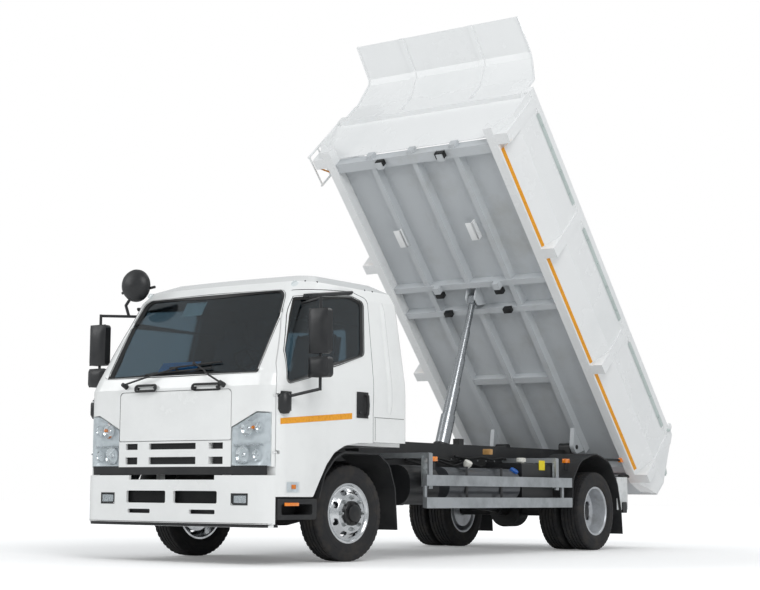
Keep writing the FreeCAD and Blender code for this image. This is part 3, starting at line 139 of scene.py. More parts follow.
def finish(bm, name, mat, body, bevel=0.0, angle=35):
    """Closes a piece: rounds its edges, shades it smooth up to an angle and fixes it to a body."""
    if bevel:
        edges = [e for e in bm.edges if e.is_manifold and e.calc_face_angle(0) > SHARP_EDGE]
        bmesh.ops.bevel(bm, geom=edges, offset=bevel, segments=2, affect="EDGES", profile=0.5,
                        clamp_overlap=True)
    bmesh.ops.recalc_face_normals(bm, faces=bm.faces)
    piece = placed(bm, name, mat)
    mesh = piece.data
    if "custom_normal" in mesh.attributes:
        mesh.attributes.remove(mesh.attributes["custom_normal"])
    mesh.polygons.foreach_set("use_smooth", [True] * len(mesh.polygons))
    mesh.set_sharp_from_angle(angle=math.radians(angle))
    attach(piece, body)
    return piece


AXLE_Y = joints["left_steer"]["pos_m"][1]  # front axle; lengths below count back from it
# sprayed steel: satin black with grey dust lying in broad patches
chassis_paint = surface("steel_chassis_black", "1c1d1f", "3d3c39", 0.42, patch=0.35, grain=0.004,
                        relief=0.0004, share=0.5)
# rough sand-cast iron, black
cast_iron = surface("iron_cast", "232425", "3a3836", 0.62, patch=0.12, grain=0.003, relief=0.0009, metallic=0.3)
# black scaled spring steel with a brown bloom
spring_steel = surface("steel_spring", "26272a", "4a4038", 0.5, patch=0.08, grain=0.002, relief=0.0004,
                       metallic=0.6)
# pale, slightly cloudy plating on bolts and nuts
zinc = surface("steel_zinc", "b9bcbd", "8d8f8e", 0.34, patch=0.05, grain=0.001, relief=0.0002, metallic=0.9)
finish_cad(chassis_paint, "chassis_rails", "cross_members", "sub_frame", "rear_underrun", "propshaft")
finish_cad(cast_iron, "front_axle", "rear_axle", "left_knuckle", "right_knuckle", "track_rod", "engine", "silencer")
finish_cad(spring_steel, "leaf_springs")

BOLT_PITCH = 0.17
RAIL_OUTSIDE = 0.424
bolts = bmesh.new()
for side in (-1, 1):
    for i in range(34):
        y = AXLE_Y - 0.9 + BOLT_PITCH * i
        for z in (0.79, 0.94):
            rod(bolts, (side * RAIL_OUTSIDE, y, z), (side * (RAIL_OUTSIDE + 0.009), y, z), 0.011, 0.009, 6)
finish(bolts, "frame_bolts", zinc, "chassis")

# ---------------------------------------------------------------- wheels
# Eight-stud steel discs, the front pair polished alloy with a black hub, the rear silver.
# Tubeless ribbed tyres: moulded rubber with circumferential grooves and shoulder notches.

# matt rubber, browned in patches where dust has settled
tyre_rubber = surface("rubber_tyre", "202022", "3b3733", 0.8, patch=0.12, grain=0.003, relief=0.0005)
# bright, almost mirror-like metal
alloy = surface("alloy_polished", "d8dadc", "bfc2c4", 0.16, patch=0.1, grain=0.001, relief=0.00005, metallic=1.0)
# sprayed silver with a soft sheen
wheel_silver = surface("steel_wheel_silver", "c9ccd0", "a9abac", 0.33, patch=0.12, grain=0.001,
                       relief=0.0001, metallic=0.35)
# satin black enamel over a casting
hub_black = surface("iron_hub_black", "17181a", "2c2b2a", 0.38, patch=0.06, grain=0.002, relief=0.0003)
finish_cad(alloy, "front_left_wheel", "front_right_wheel")
finish_cad(wheel_silver, "rear_left_wheels", "rear_right_wheels")

TYRE = [  # across the tread, radius; mirrored about the middle
    (0.092, 0.2525), (0.099, 0.263), (0.110, 0.276), (0.117, 0.300), (0.1185, 0.335), (0.1170, 0.340),
    (0.1185, 0.345), (0.114, 0.375), (0.108, 0.396), (0.104, 0.4105), (0.098, 0.4175), (0.066, 0.4185),
    (0.064, 0.406), (0.056, 0.406), (0.054, 0.4187), (0.024, 0.4187), (0.022, 0.406), (0.014, 0.406),
    (0.012, 0.4188),
]
TYRE_PROFILE = TYRE + [(-x, r) for x, r in reversed(TYRE)]
SHOULDER_ROWS, RIB_ROWS = (9, 10), (11, 14, 15, 18)
TREAD_STEPS = 192  # round the tyre, four to a notch
TWIN_HALF = 0.135  # from the middle of a pair to each of its tyres
STUDS, STUD_CIRCLE = 8, 0.1375


def lathe(bm, middle, axis, profile, segments=48, ripple=None):
    """Turned form from (along the axis, radius) points; ripple(row, step) adds to a radius."""
    axis = Vector(axis).normalized()
    side = axis.orthogonal().normalized()
    other = axis.cross(side)
    rings = []
    for row, (along, radius) in enumerate(profile):
        ring = []
        for step in range(segments):
            angle = 2 * math.pi * step / segments
            r = radius + (ripple(row, step) if ripple else 0)
            outwards = side * math.cos(angle) + other * math.sin(angle)
            ring.append(bm.verts.new(Vector(middle) + axis * along + outwards * r))
        rings.append(ring)
    for first, second in zip(rings, rings[1:]):
        for step in range(segments):
            after = (step + 1) % segments
            bm.faces.new((first[step], first[after], second[after], second[step]))
    return rings


def tread(row, step):
    """Notches across the shoulder ribs and shallow cuts in the middle ribs."""
    row = min(row, len(TYRE_PROFILE) - 1 - row)
    if step % 4:
        return 0
    return -0.007 if row in SHOULDER_ROWS else -0.003 if row in RIB_ROWS else 0


def tyres(name, node, body, middles, axis):
    """Ribbed tyres of one body, shown in place of its plain ones."""
    bm = bmesh.new()
    for middle in middles:
        rings = lathe(bm, middle, axis, TYRE_PROFILE, TREAD_STEPS, tread)
        for step in range(TREAD_STEPS):
            after = (step + 1) % TREAD_STEPS
            bm.faces.new((rings[-1][step], rings[-1][after], rings[0][after], rings[0][step]))
    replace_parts(finish(bm, name, tyre_rubber, body, angle=28), node)


def around(middle, axis, radius, angle):
    """Point on a circle about an axle, at an angle in degrees."""
    across = axis.orthogonal().normalized()
    return middle + Matrix.Rotation(math.radians(angle), 3, axis) @ across * radius


def nuts(name, body, slot, middle, axis, seat, collar, tip):
    """Ring of wheel nuts and stud ends; seat, collar and tip are places along the axle."""
    bm = bmesh.new()
    for i in range(STUDS):
        spot = around(middle, axis, STUD_CIRCLE, 45 * i)
        rod(bm, spot + axis * seat, spot + axis * collar, 0.0185, 0.0165, 6)
        rod(bm, spot + axis * collar, spot + axis * tip, 0.0115, 0.010, 12)
    finish(bm, name, zinc, body)


FRONT_CAP = [(0, 0.107), (0.018, 0.1065), (0.024, 0.1), (0.026, 0.078), (0.044, 0.074), (0.052, 0.064),
             (0.056, 0.03), (0.056, 0.001)]  # along the axle, radius
REAR_CAP = [(0, 0.1), (0.014, 0.099), (0.02, 0.09), (0.03, 0.06), (0.034, 0.02), (0.034, 0.001)]
WHEELS = [  # end, plural, slot, tyres and nut's parts along the axle, cap's place and profile
    ("front", "", "polished_wheel", (0,), (0.130, 0.152, 0.166), 0.1355, FRONT_CAP),
    ("rear", "s", "silver_wheel", (TWIN_HALF, -TWIN_HALF), (0.002, 0.03, 0.048), 0.088, REAR_CAP),
]
for side, sign in (("left", 1), ("right", -1)):
    for end, plural, slot, places, seats, cap_at, profile in WHEELS:
        name, roll = "%s_%s" % (end, side), joints["%s_%s_roll" % (end, side)]
        tyre, wheel = name + "_tyre" + plural, name + "_wheel" + plural
        middle, axis = Vector(roll["pos_m"]), Vector(roll["axis"]) * sign
        tyres(tyre + "_rubber", tyre, wheel, [middle + axis * place for place in places], axis)
        nuts(name + "_nuts", wheel, slot, middle, axis, *seats)
        cap = bmesh.new()
        lathe(cap, middle + axis * cap_at, axis, profile, 64)
        for i in range(8 if end == "front" else 0):  # the front cap is bolted on
            spot = around(middle, axis, 0.09, 45 * i + 22.5)
            rod(cap, spot + axis * 0.158, spot + axis * 0.17, 0.0075, 0.0065, 6)
        finish(cap, name + "_hub_cap", hub_black, wheel)

# ---------------------------------------------------------------- tanks, boxes, guards and mudguards
# Painted steel fuel tank held by two steel straps; moulded black plastic boxes and arches.
# The side guards are bare aluminium profiles on galvanised hanger plates.

# dark metallic paint with a soft shine
tank_paint = surface("steel_tank_grey", "55585c", "3b3d40", 0.3, patch=0.4, grain=0.002, relief=0.0002,
                     metallic=0.5)
# fine-grained moulding, greyed by the weather
black_plastic = surface("plastic_black_grained", "202123", "343434", 0.6, patch=0.25, grain=0.0015,
                        relief=0.0004)
# dull extruded metal
guard_alloy = surface("alloy_guard", "b4b8bb", "94979a", 0.38, patch=0.3, grain=0.0008, relief=0.0001,
                      metallic=0.75)
# small spangles on hot-dipped plates
galvanised = surface("steel_galvanised", "aeb3b4", "8b9091", 0.42, patch=0.02, grain=0.004, relief=0.0001,
                     metallic=0.8)
cover_white = surface("steel_cover_white", "e4e6e6", "c9cccc", 0.4, patch=0.1, grain=0.002)
# clear-coloured lenses with a gloss coat
amber = surface("plastic_amber_lens", "f58a1c", "e0700c", 0.18, patch=0.05, grain=0.001, **{"Coat Weight": 0.6})
red_lens = surface("plastic_red_lens", "c81e1a", "a51210", 0.18, patch=0.05, grain=0.001, **{"Coat Weight": 0.6})
# plain mouldings: caps, valve body and label
blue_plastic = surface("plastic_blue", "1f5fb4", "1a4f93", 0.4, patch=0.05, grain=0.001)
pale_plastic = surface("plastic_pale", "e2e1da", "c8c6bd", 0.45, patch=0.05, grain=0.001)
tan_plastic = surface("plastic_tan", "b48a52", "94703f", 0.5, patch=0.05, grain=0.001)
label_yellow = surface("plastic_label_yellow", "f2dc1e", "e6cf14", 0.45, patch=0.05, grain=0.001)
# soft black rubber with a faint bloom
seal_rubber = surface("rubber_seal", "151617", "232323", 0.5, patch=0.1, grain=0.001, relief=0.0002)
finish_cad(tank_paint, "fuel_tank")
finish_cad(chassis_paint, "air_tank", "hydraulic_tank")
finish_cad(black_plastic, "battery_box", "cab_steps", "front_mudguards", "rear_mudguards")
finish_cad(guard_alloy, "side_guards")


def box(bm, low, high):
    """Block between two corners."""
    low, high = Vector(low), Vector(high)
    made = bmesh.ops.create_cube(bm, size=1)["verts"]
    for v in made:
        v.co = Vector([(low[i] + high[i]) / 2 + v.co[i] * (high[i] - low[i]) for i in range(3)])
    return made


fuel_low, fuel_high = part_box("fuel_tank")
STRAP = 0.003  # thickness
straps = bmesh.new()
for y in (AXLE_Y + 1.86, AXLE_Y + 2.51):
    x0, x1, z0, z1 = fuel_low.x - 0.004, fuel_high.x + 0.004, fuel_low.z - 0.004, fuel_high.z + 0.004
    ring = [(x0, z0), (x1, z0), (x1, z1), (x0, z1)]
    for a, b in zip(ring, ring[1:] + ring[:1]):
        box(straps, (min(a[0], b[0]), y - 0.022, min(a[1], b[1]) - STRAP),
            (max(a[0], b[0]) + STRAP, y + 0.022, max(a[1], b[1]) + STRAP))
finish(straps, "fuel_tank_straps", chassis_paint, "chassis", bevel=0.001)

caps = bmesh.new()
lathe(caps, (0.93, AXLE_Y + 2.866, 0.80), (0.6, 0, 0.8),
      [(-0.03, 0.035), (0.02, 0.035), (0.022, 0.046), (0.05, 0.045), (0.056, 0.036), (0.056, 0.001)], 32)
finish(caps, "additive_cap", blue_plastic, "chassis")

markers, brackets = bmesh.new(), bmesh.new()
for side in (-1, 1):
    x = side * 1.0
    for y, z in ((AXLE_Y + 1.285, 0.919), (AXLE_Y + 3.883, 0.951)):  # amber block on a strip beside each arch
        box(markers, (x - 0.022, y - 0.05, z - 0.022), (x + 0.022, y + 0.05, z + 0.024))
        box(brackets, (x - 0.015, y - 0.03, z - 0.1), (x + 0.008, y + 0.03, z - 0.02))
    rod(brackets, (side * 0.86, AXLE_Y + 4.72, 0.99), (side * 0.985, AXLE_Y + 5.17, 0.985), 0.014)
    box(markers, (side * 0.99 - 0.022, AXLE_Y + 5.16, 0.96), (side * 0.99 + 0.022, AXLE_Y + 5.24, 1.01))
finish(markers, "side_marker_lenses", amber, "chassis", bevel=0.006)
finish(brackets, "side_marker_brackets", black_plastic, "chassis", bevel=0.002)

hangers = bmesh.new()
for side in (-1, 1):
    x = side * 1.0
    for y in (AXLE_Y + 1.15, AXLE_Y + 3.64):  # perforated plates that carry the guard's ends
        box(hangers, (x - 0.004, y - 0.06, 0.66), (x + 0.004, y + 0.06, 0.95))
        for z in (0.7, 0.76, 0.82, 0.88):
            for off in (-0.03, 0.03):
                rod(hangers, (x, y + off, z), (side * 1.01, y + off, z), 0.009, 0.007, 8)
finish(hangers, "guard_hangers", galvanised, "chassis", bevel=0.001)

fillers = bmesh.new()
lathe(fillers, (0.97, AXLE_Y + 1.944, 0.88), (0.5, 0, 0.86),
      [(-0.03, 0.03), (0.0, 0.042), (0.03, 0.042), (0.036, 0.034), (0.036, 0.001)], 32)
lathe(fillers, (0.93, AXLE_Y + 3.052, 0.905), (0, 0, 1),
      [(-0.06, 0.034), (0.02, 0.034), (0.022, 0.05), (0.055, 0.05), (0.062, 0.04), (0.062, 0.001)], 32)
finish(fillers, "filler_caps", pale_plastic, "chassis")
label, block = bmesh.new(), bmesh.new()
box(label, (0.992, AXLE_Y + 3.31, 0.845), (0.996, AXLE_Y + 3.43, 0.945))
finish(label, "blank_label", label_yellow, "chassis")
box(block, (0.9, AXLE_Y + 2.34, 0.985), (0.98, AXLE_Y + 2.41, 1.04))
finish(block, "valve_block", tan_plastic, "chassis", bevel=0.006)

HOSES = [  # height, front end, rear end, sag
    (0.955, 1.0, 2.7, 0.03),
    (0.925, 1.6, 3.3, 0.05),
    (0.975, 2.5, 3.9, 0.02),
]


def tube(bm, points, radius, segments=10):
    """Bent round bar through points, with a ball at each bend."""
    for a, b in zip(points, points[1:]):
        rod(bm, a, b, radius, segments=segments)
    for p in points[1:-1]:
        bmesh.ops.create_icosphere(bm, subdivisions=2, radius=radius, matrix=Matrix.Translation(Vector(p)))


hoses = bmesh.new()  # rubber air and oil lines clipped along the frame
for z, start, end, sag in HOSES:
    line = [(0.47 + 0.02 * math.sin(5 * k / 12), AXLE_Y + start + (end - start) * k / 12,
             z - sag * math.sin(math.pi * k / 4) ** 2) for k in range(13)]
    tube(hoses, line, 0.012)
finish(hoses, "air_lines", seal_rubber, "chassis")

hook = bmesh.new()  # gate release lever with its eye
tube(hook, [(0.97, AXLE_Y + 5.18, 0.8), (1.0, AXLE_Y + 5.42, 0.81), (1.0, AXLE_Y + 5.5, 0.84),
            (1.0, AXLE_Y + 5.54, 0.89)], 0.02)
lathe(hook, (1.0, AXLE_Y + 5.56, 0.925), (1, 0, 0),
      [(-0.011, 0.024), (0.011, 0.024), (0.011, 0.042), (-0.011, 0.042), (-0.011, 0.024)], 24)
finish(hook, "gate_lever", hub_black, "chassis")

tails, ambers, covers = bmesh.new(), bmesh.new(), bmesh.new()
for side in (-1, 1):
    for start, end, bm in ((0.66, 0.78, tails), (0.79, 0.92, tails), (0.93, 1.05, ambers)):
        box(bm, (min(side * start, side * end), AXLE_Y + 5.178, 0.62),
            (max(side * start, side * end), AXLE_Y + 5.195, 0.78))
    for x, half, low, high in ((side * 1.064, 0.003, 0.43, 0.79), (side * 1.02, 0.045, 0.787, 0.793)):
        box(covers, (x - half, AXLE_Y + 4.93, low), (x + half, AXLE_Y + 5.19, high))
finish(tails, "rear_lamp_red", red_lens, "chassis", bevel=0.006)
finish(ambers, "rear_lamp_amber", amber, "chassis", bevel=0.006)
finish(covers, "lamp_side_covers", cover_white, "chassis", bevel=0.001)

# ---------------------------------------------------------------- cab skin
# Pressed steel panels in gloss white two-pack; front panel and doors are separate pressings.
# Bumper and grille are painted to match; steps, meshes and trims are grained black plastic.


def lined(mat, trim, middle):
    """Turns the faces that look towards a middle point into moulded trim of another colour."""
    tree = mat.node_tree
    shader = next(n for n in tree.nodes if n.type == "BSDF_PRINCIPLED")
    place = next(n for n in tree.nodes if n.type == "TEX_COORD")
    off = add(mat, "VectorMath", {"operation": "SUBTRACT", 1: middle}, [(0, place, "Object")])
    facing = add(mat, "VectorMath", {"operation": "DOT_PRODUCT"}, [(0, off, 0), (1, place, "Normal")])
    inward = add(mat, "Math", {"operation": "LESS_THAN", 1: 0.0}, [(0, facing, "Value")])
    base = shader.inputs["Base Color"].links[0].from_node
    tint = add(mat, "Mix", {"data_type": "RGBA", 7: colour(trim)}, [(0, inward, 0), (6, base, 2)])
    tree.links.new(shader.inputs["Base Color"], tint.outputs[2])
    dull = add(mat, "MapRange", {"To Min": 0.2, "To Max": 0.75}, [("Value", inward, 0)])
    tree.links.new(shader.inputs["Roughness"], dull.outputs["Result"])
    return mat


# even gloss white with a clear coat, barely mottled
GLOSS = {"roughness": 0.2, "patch": 0.8, "grain": 0.006, "relief": 0.00004, "Coat Roughness": 0.08}
white_paint = surface("steel_cab_white", "f1f2f1", "e6e7e6", **GLOSS, **{"Coat Weight": 0.5})
# the same outside, with grey moulded trim on the faces that look into the cab
CAB_MIDDLE = (0, -2.65, 1.75)
cab_white = lined(surface("steel_cab_white_lined", "f1f2f1", "e6e7e6", **GLOSS, **{"Coat Weight": 0.4}),
                  "55595c", CAB_MIDDLE)
# dull mid-grey moulding
dash_plastic = surface("plastic_dash_grey", "4d5053", "3f4245", 0.62, patch=0.2, grain=0.001, relief=0.0003)
finish_cad(cab_white, "cab_shell", "left_door", "right_door")
finish_cad(white_paint, "front_panel", "grille", "front_bumper")
finish_cad(dash_plastic, "dashboard")
finish_cad(black_plastic, "steering_wheel")


def glass(name, tint, roughness=0.03, clearness=0.0):
    """Pane with a slight body colour and faint smears; clearness lets thin covers show straight through."""
    mat, place = blank(name)
    smear = add(mat, "TexNoise", {"Scale": 9.0, "Detail": 4.0}, [("Vector", place, "Object")])
    dull = add(mat, "MapRange", {"To Min": roughness, "To Max": roughness + 0.05}, [("Value", smear, "Fac")])
    shader = add(mat, "BsdfPrincipled", {"Base Color": colour(tint), "IOR": 1.5, "Transmission Weight": 1.0},
                 [("Roughness", dull, "Result")])
    clear = add(mat, "BsdfTransparent", {"Color": colour(tint)})
    path = add(mat, "LightPath")
    share = add(mat, "Math", {"operation": "MAXIMUM", 1: clearness}, [(0, path, "Is Shadow Ray")])
    through = add(mat, "MixShader", (), [(0, share, "Value"), (1, shader, "BSDF"), (2, clear, "BSDF")])
    add(mat, "OutputMaterial", (), [("Surface", through, "Shader")])
    return mat


cab_tint = glass("glass_cab", "8fa3ad")
lamp_lens = glass("glass_lamp", "f2f5f6", 0.02, 0.82)
finish_cad(cab_tint, "cab_glass", "left_door_glass", "right_door_glass")

HALVINGS = 14  # steps that close in on an outline


def caster(*names):
    """Returns a probe that gives the point and normal of these nodes' skin along a ray."""
    verts, faces = [], []
    for name in names:
        mesh = nodes[name].data
        first = len(verts)
        verts += [nodes[name].matrix_world @ v.co for v in mesh.vertices]
        faces += [[first + i for i in p.vertices] for p in mesh.polygons]
    tree = BVHTree.FromPolygons(verts, faces)

    def probe(start, aim):
        spot, normal, _, _ = tree.ray_cast(Vector(start), Vector(aim))
        return spot, normal
    return probe


def rim(probe, place, aim, middle, reach, count, limit):
    """Outline of what a probe meets within a depth, seen from its middle: (a, b) points."""
    outline = []
    for step in range(count):
        turn = 2 * math.pi * step / count
        near, far = 0.02, reach
        for _ in range(HALVINGS):
            r = (near + far) / 2
            spot, _ = probe(place(middle[0] + r * math.cos(turn), middle[1] + r * math.sin(turn)), aim)
            if spot is not None and limit(spot):
                near = r
            else:
                far = r
        outline.append((turn, near))
    return outline


def draped(bm, rows, depth, aim):
    """Open sheet through rows of skin points, raised against the ray by its depth."""
    lift = -Vector(aim) * depth
    grid = [[bm.verts.new(p + lift) for p in row] for row in rows]
    for first, second in zip(grid, grid[1:]):
        for i in range(len(first) - 1):
            bm.faces.new((first[i], first[i + 1], second[i + 1], second[i]))
    return grid


def patch_rows(point, across, up, columns, rows):
    """Rows of skin points over a rectangle in even steps; across and up are (first, last)."""
    return [[point(across[0] + (across[1] - across[0]) * i / columns, up[0] + (up[1] - up[0]) * k / rows)
             for i in range(columns + 1)] for k in range(rows + 1)]


def band(name, mat, body, probe, place, aim, middle, outline, inside, outside, depth):
    """Seal or printed band that follows an outline: inside and outside are its two edges from it."""
    bm = bmesh.new()
    rings = []
    for offset, lift in ((inside, 0.0), (inside, depth), (outside, depth), (outside, -0.004)):
        ring = []
        for turn, r in outline:
            reach = r + offset
            spot, _ = probe(place(middle[0] + reach * math.cos(turn), middle[1] + reach * math.sin(turn)), aim)
            if spot is None:
                spot = ring[-1].co + Vector(aim) * lift if ring else Vector(place(middle[0], middle[1]))
            ring.append(bm.verts.new(spot - Vector(aim) * lift))
        rings.append(ring)
    for first, second in zip(rings, rings[1:]):
        for i in range(len(first)):
            j = (i + 1) % len(first)
            bm.faces.new((first[i], first[j], second[j], second[i]))
    finish(bm, name, mat, body, angle=50)


FROM_FRONT, FROM_REAR = Vector((0, 1, 0)), Vector((0, -1, 0))
front_skin = caster("cab_shell", "cab_glass", "front_panel", "grille", "headlamps")
glass_front = caster("cab_glass")


def before(x, z):
    """Start of a ray in front of the cab."""
    return Vector((x, -6, z))


def behind(x, z):
    """Start of a ray behind the cab, for its rear wall."""
    return Vector((x, 0, z))


def face(x, z, lift=0.0):
    """Point on the cab's front at (x, z), raised off it."""
    spot, normal = front_skin(before(x, z), FROM_FRONT)
    if normal.y > 0:
        normal = -normal
    return spot + normal * lift


SCREEN_MIDDLE, REAR_PANE_MIDDLE = (0, 1.96), (0, 1.95)
screen = rim(glass_front, before, FROM_FRONT, SCREEN_MIDDLE, 1.2, 200, lambda p: p.y < -3.0)
band("windscreen_seal", seal_rubber, "cab", front_skin, before, FROM_FRONT, SCREEN_MIDDLE, screen,
     -0.034, 0.012, 0.004)
rear_skin = caster("cab_shell", "cab_glass")
rear_pane = rim(glass_front, behind, FROM_REAR, REAR_PANE_MIDDLE, 1.0, 120, lambda p: p.y > -2.2)
band("rear_window_seal", seal_rubber, "cab", rear_skin, behind, FROM_REAR, REAR_PANE_MIDDLE, rear_pane,
     -0.02, 0.012, 0.004)

wipers = bmesh.new()
WIPERS = [  # pivot x, z; arm's end x, z; blade's two ends x, z
    ((-0.575, 1.505), (-0.03, 1.632), (-0.40, 1.603), (0.352, 1.637)),
    ((0.555, 1.49), (0.16, 1.672), (-0.13, 1.655), (0.43, 1.69)),
]
for pivot, tip, left, far in WIPERS:
    for a, b, radius, lift in ((pivot, tip, 0.0085, 0.045), (left, far, 0.008, 0.016)):
        line = [face(a[0] + (b[0] - a[0]) * k / 8, a[1] + (b[1] - a[1]) * k / 8, lift) for k in range(9)]
        tube(wipers, line, radius, 8)
    rod(wipers, face(*pivot, -0.01), face(*pivot, 0.06), 0.024, 0.017)
    rod(wipers, face(*tip, 0.01), face(*tip, 0.052), 0.012, 0.012)
finish(wipers, "wipers", black_plastic, "cab")

GRIP_HALF, GRIP_LIFT, GRIP_BAR = 0.02, 0.022, 0.0105  # half height, off the panel, bar's radius
grips = bmesh.new()
for first, last, z in ((-0.435, -0.185, 1.483), (0.237, 0.523, 1.474)):
    for low in (-GRIP_HALF, GRIP_HALF):
        line = [face(first + 0.02 + (last - first - 0.04) * k / 6, z + low, GRIP_LIFT) for k in range(7)]
        tube(grips, line, GRIP_BAR)
    for x, turn in ((first + 0.02, -1), (last - 0.02, 1)):
        bend = [face(x + turn * GRIP_HALF * math.sin(math.pi * k / 6),
                     z + GRIP_HALF * math.cos(math.pi * k / 6), GRIP_LIFT) for k in range(7)]
        tube(grips, bend, GRIP_BAR)
        rod(grips, face(x, z, -0.01), face(x, z, GRIP_LIFT), 0.012, 0.012)
finish(grips, "front_grips", black_plastic, "cab")

backs = bmesh.new()  # dark mesh set inside each slot
for low, high in ((0.955, 1.008), (0.828, 0.89)):
    for x0, x1 in ((-0.56, -0.43), (-0.27, 0.27), (0.43, 0.56)):
        depth = max(face(x0, high + 0.01).y, face(x1, high + 0.01).y)
        box(backs, (x0, depth + 0.03, low), (x1, depth + 0.034, high))
        for i in range(4):
            z = low + (high - low) * (i + 0.5) / 4
            box(backs, (x0, depth + 0.022, z - 0.003), (x1, depth + 0.03, z + 0.003))
finish(backs, "radiator_mesh", black_plastic, "cab")

CAB_EDGE = 0.812  # lower edge of the cab's front
# painted shade: a black sheet hung from the cab's lower edge stands for the shadowed gap above the bumper
gap_shade = bmesh.new()
rows = [[face(-1.0 + 2.0 * k / 40, CAB_EDGE) + Vector((0, y, z - CAB_EDGE)) for k in range(41)]
        for y, z in ((0.004, 0.815), (0.012, 0.74))]
draped(gap_shade, rows, 0.0, FROM_FRONT)
finish(gap_shade, "cab_gap_painted_shade", black_plastic, "cab")

bumper_skin = caster("front_bumper")
behind_bumper = bmesh.new()
box(behind_bumper, (-0.86, AXLE_Y - 1.215, 0.40), (0.86, AXLE_Y - 1.2, 0.70))
for i in range(12):
    box(behind_bumper, (-0.56, AXLE_Y - 1.228, 0.5 + 0.009 * i), (0.56, AXLE_Y - 1.215, 0.503 + 0.009 * i))
finish(behind_bumper, "bumper_mesh", black_plastic, "chassis")
BUMPER_EDGE, BUMPER_SIDE = 0.312, -3.5  # lower edge; where the lip ends beyond the bumper's corners


def lip_point(x, z):
    """Point just in front of the bumper's lower edge."""
    spot = bumper_skin(before(x, max(z, BUMPER_EDGE)), FROM_FRONT)[0]
    return Vector((x, (spot.y if spot else BUMPER_SIDE) - 0.003, z))


lip = bmesh.new()
draped(lip, [[lip_point(-1.05 + 2.1 * k / 60, z) for k in range(61)] for z in (0.309, 0.325, 0.343)],
       0.0, FROM_FRONT)
finish(lip, "bumper_lip", black_plastic, "chassis")

# near-mirror metal
bright = surface("steel_reflector", "eceef0", "d5d8da", 0.08, patch=0.03, grain=0.0008, relief=0.00004,
                 metallic=1.0)
# pale silvery moulding
tray_grey = surface("plastic_lamp_tray", "dfe3e6", "c4c9cc", 0.3, patch=0.06, grain=0.001, metallic=0.15)
surrounds, reflectors, lenses = bmesh.new(), bmesh.new(), bmesh.new()
for side in (-1, 1):
    for bm, shrink, lift in ((surrounds, 0.0, 0.002), (reflectors, 0.018, 0.004), (lenses, 0.014, 0.014)):
        rows = patch_rows(lambda x, z: bumper_skin(before(side * x, z), FROM_FRONT)[0],
                          (0.668 + shrink, 0.842 - shrink), (0.488 + shrink, 0.586 - shrink), 6, 4)
        draped(bm, rows, lift, FROM_FRONT)
finish(surrounds, "fog_lamp_surrounds", black_plastic, "chassis")
finish(reflectors, "fog_lamp_reflectors", bright, "chassis")
finish(lenses, "fog_lamp_lenses", lamp_lens, "chassis")

# headlamps: clear outer lens, silvery tray just behind it, bowls and an amber bulb
lens, tray, bowls, bulbs = bmesh.new(), bmesh.new(), bmesh.new(), bmesh.new()
lens.from_mesh(nodes["headlamps"].data)
inner = [f for f in lens.faces
         if f.normal.dot(Vector((math.copysign(0.45, f.calc_center_median().x), -0.9, 0))) <= 0.35]
bmesh.ops.delete(lens, geom=inner, context="FACES")
lamp_skin = caster("headlamps")
BOWLS = [(0.80, 1.125, 0.068), (0.755, 0.905, 0.075), (0.90, 0.905, 0.05), (0.92, 1.13, 0.045)]  # x, z, radius
for side in (-1, 1):
    for x, z, r in BOWLS:
        spot, _ = lamp_skin(before(side * x, z), FROM_FRONT)
        if spot is None:
            continue
        lathe(bowls, spot + Vector((0, 0.052, 0)), FROM_REAR,
              [(0.0, 0.001), (0.003, r * 0.4), (0.013, r * 0.75), (0.036, r)], 40)
        lathe(bowls, spot + Vector((0, 0.05, 0)), FROM_REAR,
              [(0.0, r * 0.26), (0.022, r * 0.26), (0.03, r * 0.16), (0.031, 0.001)], 24)
    for z in (0.992, 0.982):
        line = [lamp_skin(before(side * (0.66 + 0.3 * k / 6), z), FROM_FRONT)[0] for k in range(7)]
        tube(bowls, [p + Vector((0, 0.02, 0)) for p in line if p is not None], 0.006, 6)
    spot, _ = lamp_skin(before(side * 0.85, 1.13), FROM_FRONT)
    rod(bulbs, spot + Vector((0, 0.05, 0)), spot + Vector((0, 0.018, 0)), 0.017, 0.012)
TRAY_ROWS, TRAY_COLUMNS = 12, 14
for side in (-1, 1):
    rows = []
    for k in range(TRAY_ROWS + 1):
        row = []
        for i in range(TRAY_COLUMNS + 1):  # it comes forward at its rim and towards the outer end
            x = 0.652 + 0.372 * i / TRAY_COLUMNS
            top = 1.13 + 0.126 * min(1, (x - 0.645) / 0.26) - 0.054 * max(0, x - 0.905)
            deep = 0.036 * (1 - max(0, (x - 0.88) / 0.144)) + 0.003 * math.cos(math.pi * k / 2)
            if i == 0 or k in (0, TRAY_ROWS):
                deep = 0.003
            z = CAB_EDGE + (top - 0.817) * k / TRAY_ROWS
            row.append(face(side * x, z) + Vector((0, deep + 0.004, 0)))
        rows.append(row)
    draped(tray, rows, 0.0, FROM_FRONT)
finish(lens, "headlamp_lenses", lamp_lens, "cab", angle=30)
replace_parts(bpy.data.objects["headlamp_lenses"], "headlamps")
finish(tray, "headlamp_trays", tray_grey, "cab", angle=30)
finish(bowls, "headlamp_bowls", bright, "cab")
finish(bulbs, "headlamp_bulbs", amber, "cab")

# ---------------------------------------------------------------- doors and their fittings
# White pressings with a rubber-sealed drop glass, a black pull handle, a reflective stripe
# and a mirror frame of bent tube; the low lamp sits in a recess of the door skin.

# orange tape with a fine retro-reflective grain
stripe_tape = surface("tape_reflective_amber", "f2a51e", "d98a12", 0.42, patch=0.02, grain=0.002, relief=0.0001)
# silvered glass
mirror_glass = surface("glass_mirror", "cfd4d8", "c2c7cb", 0.03, patch=0.2, grain=0.002, relief=0.00001,
                       metallic=1.0)
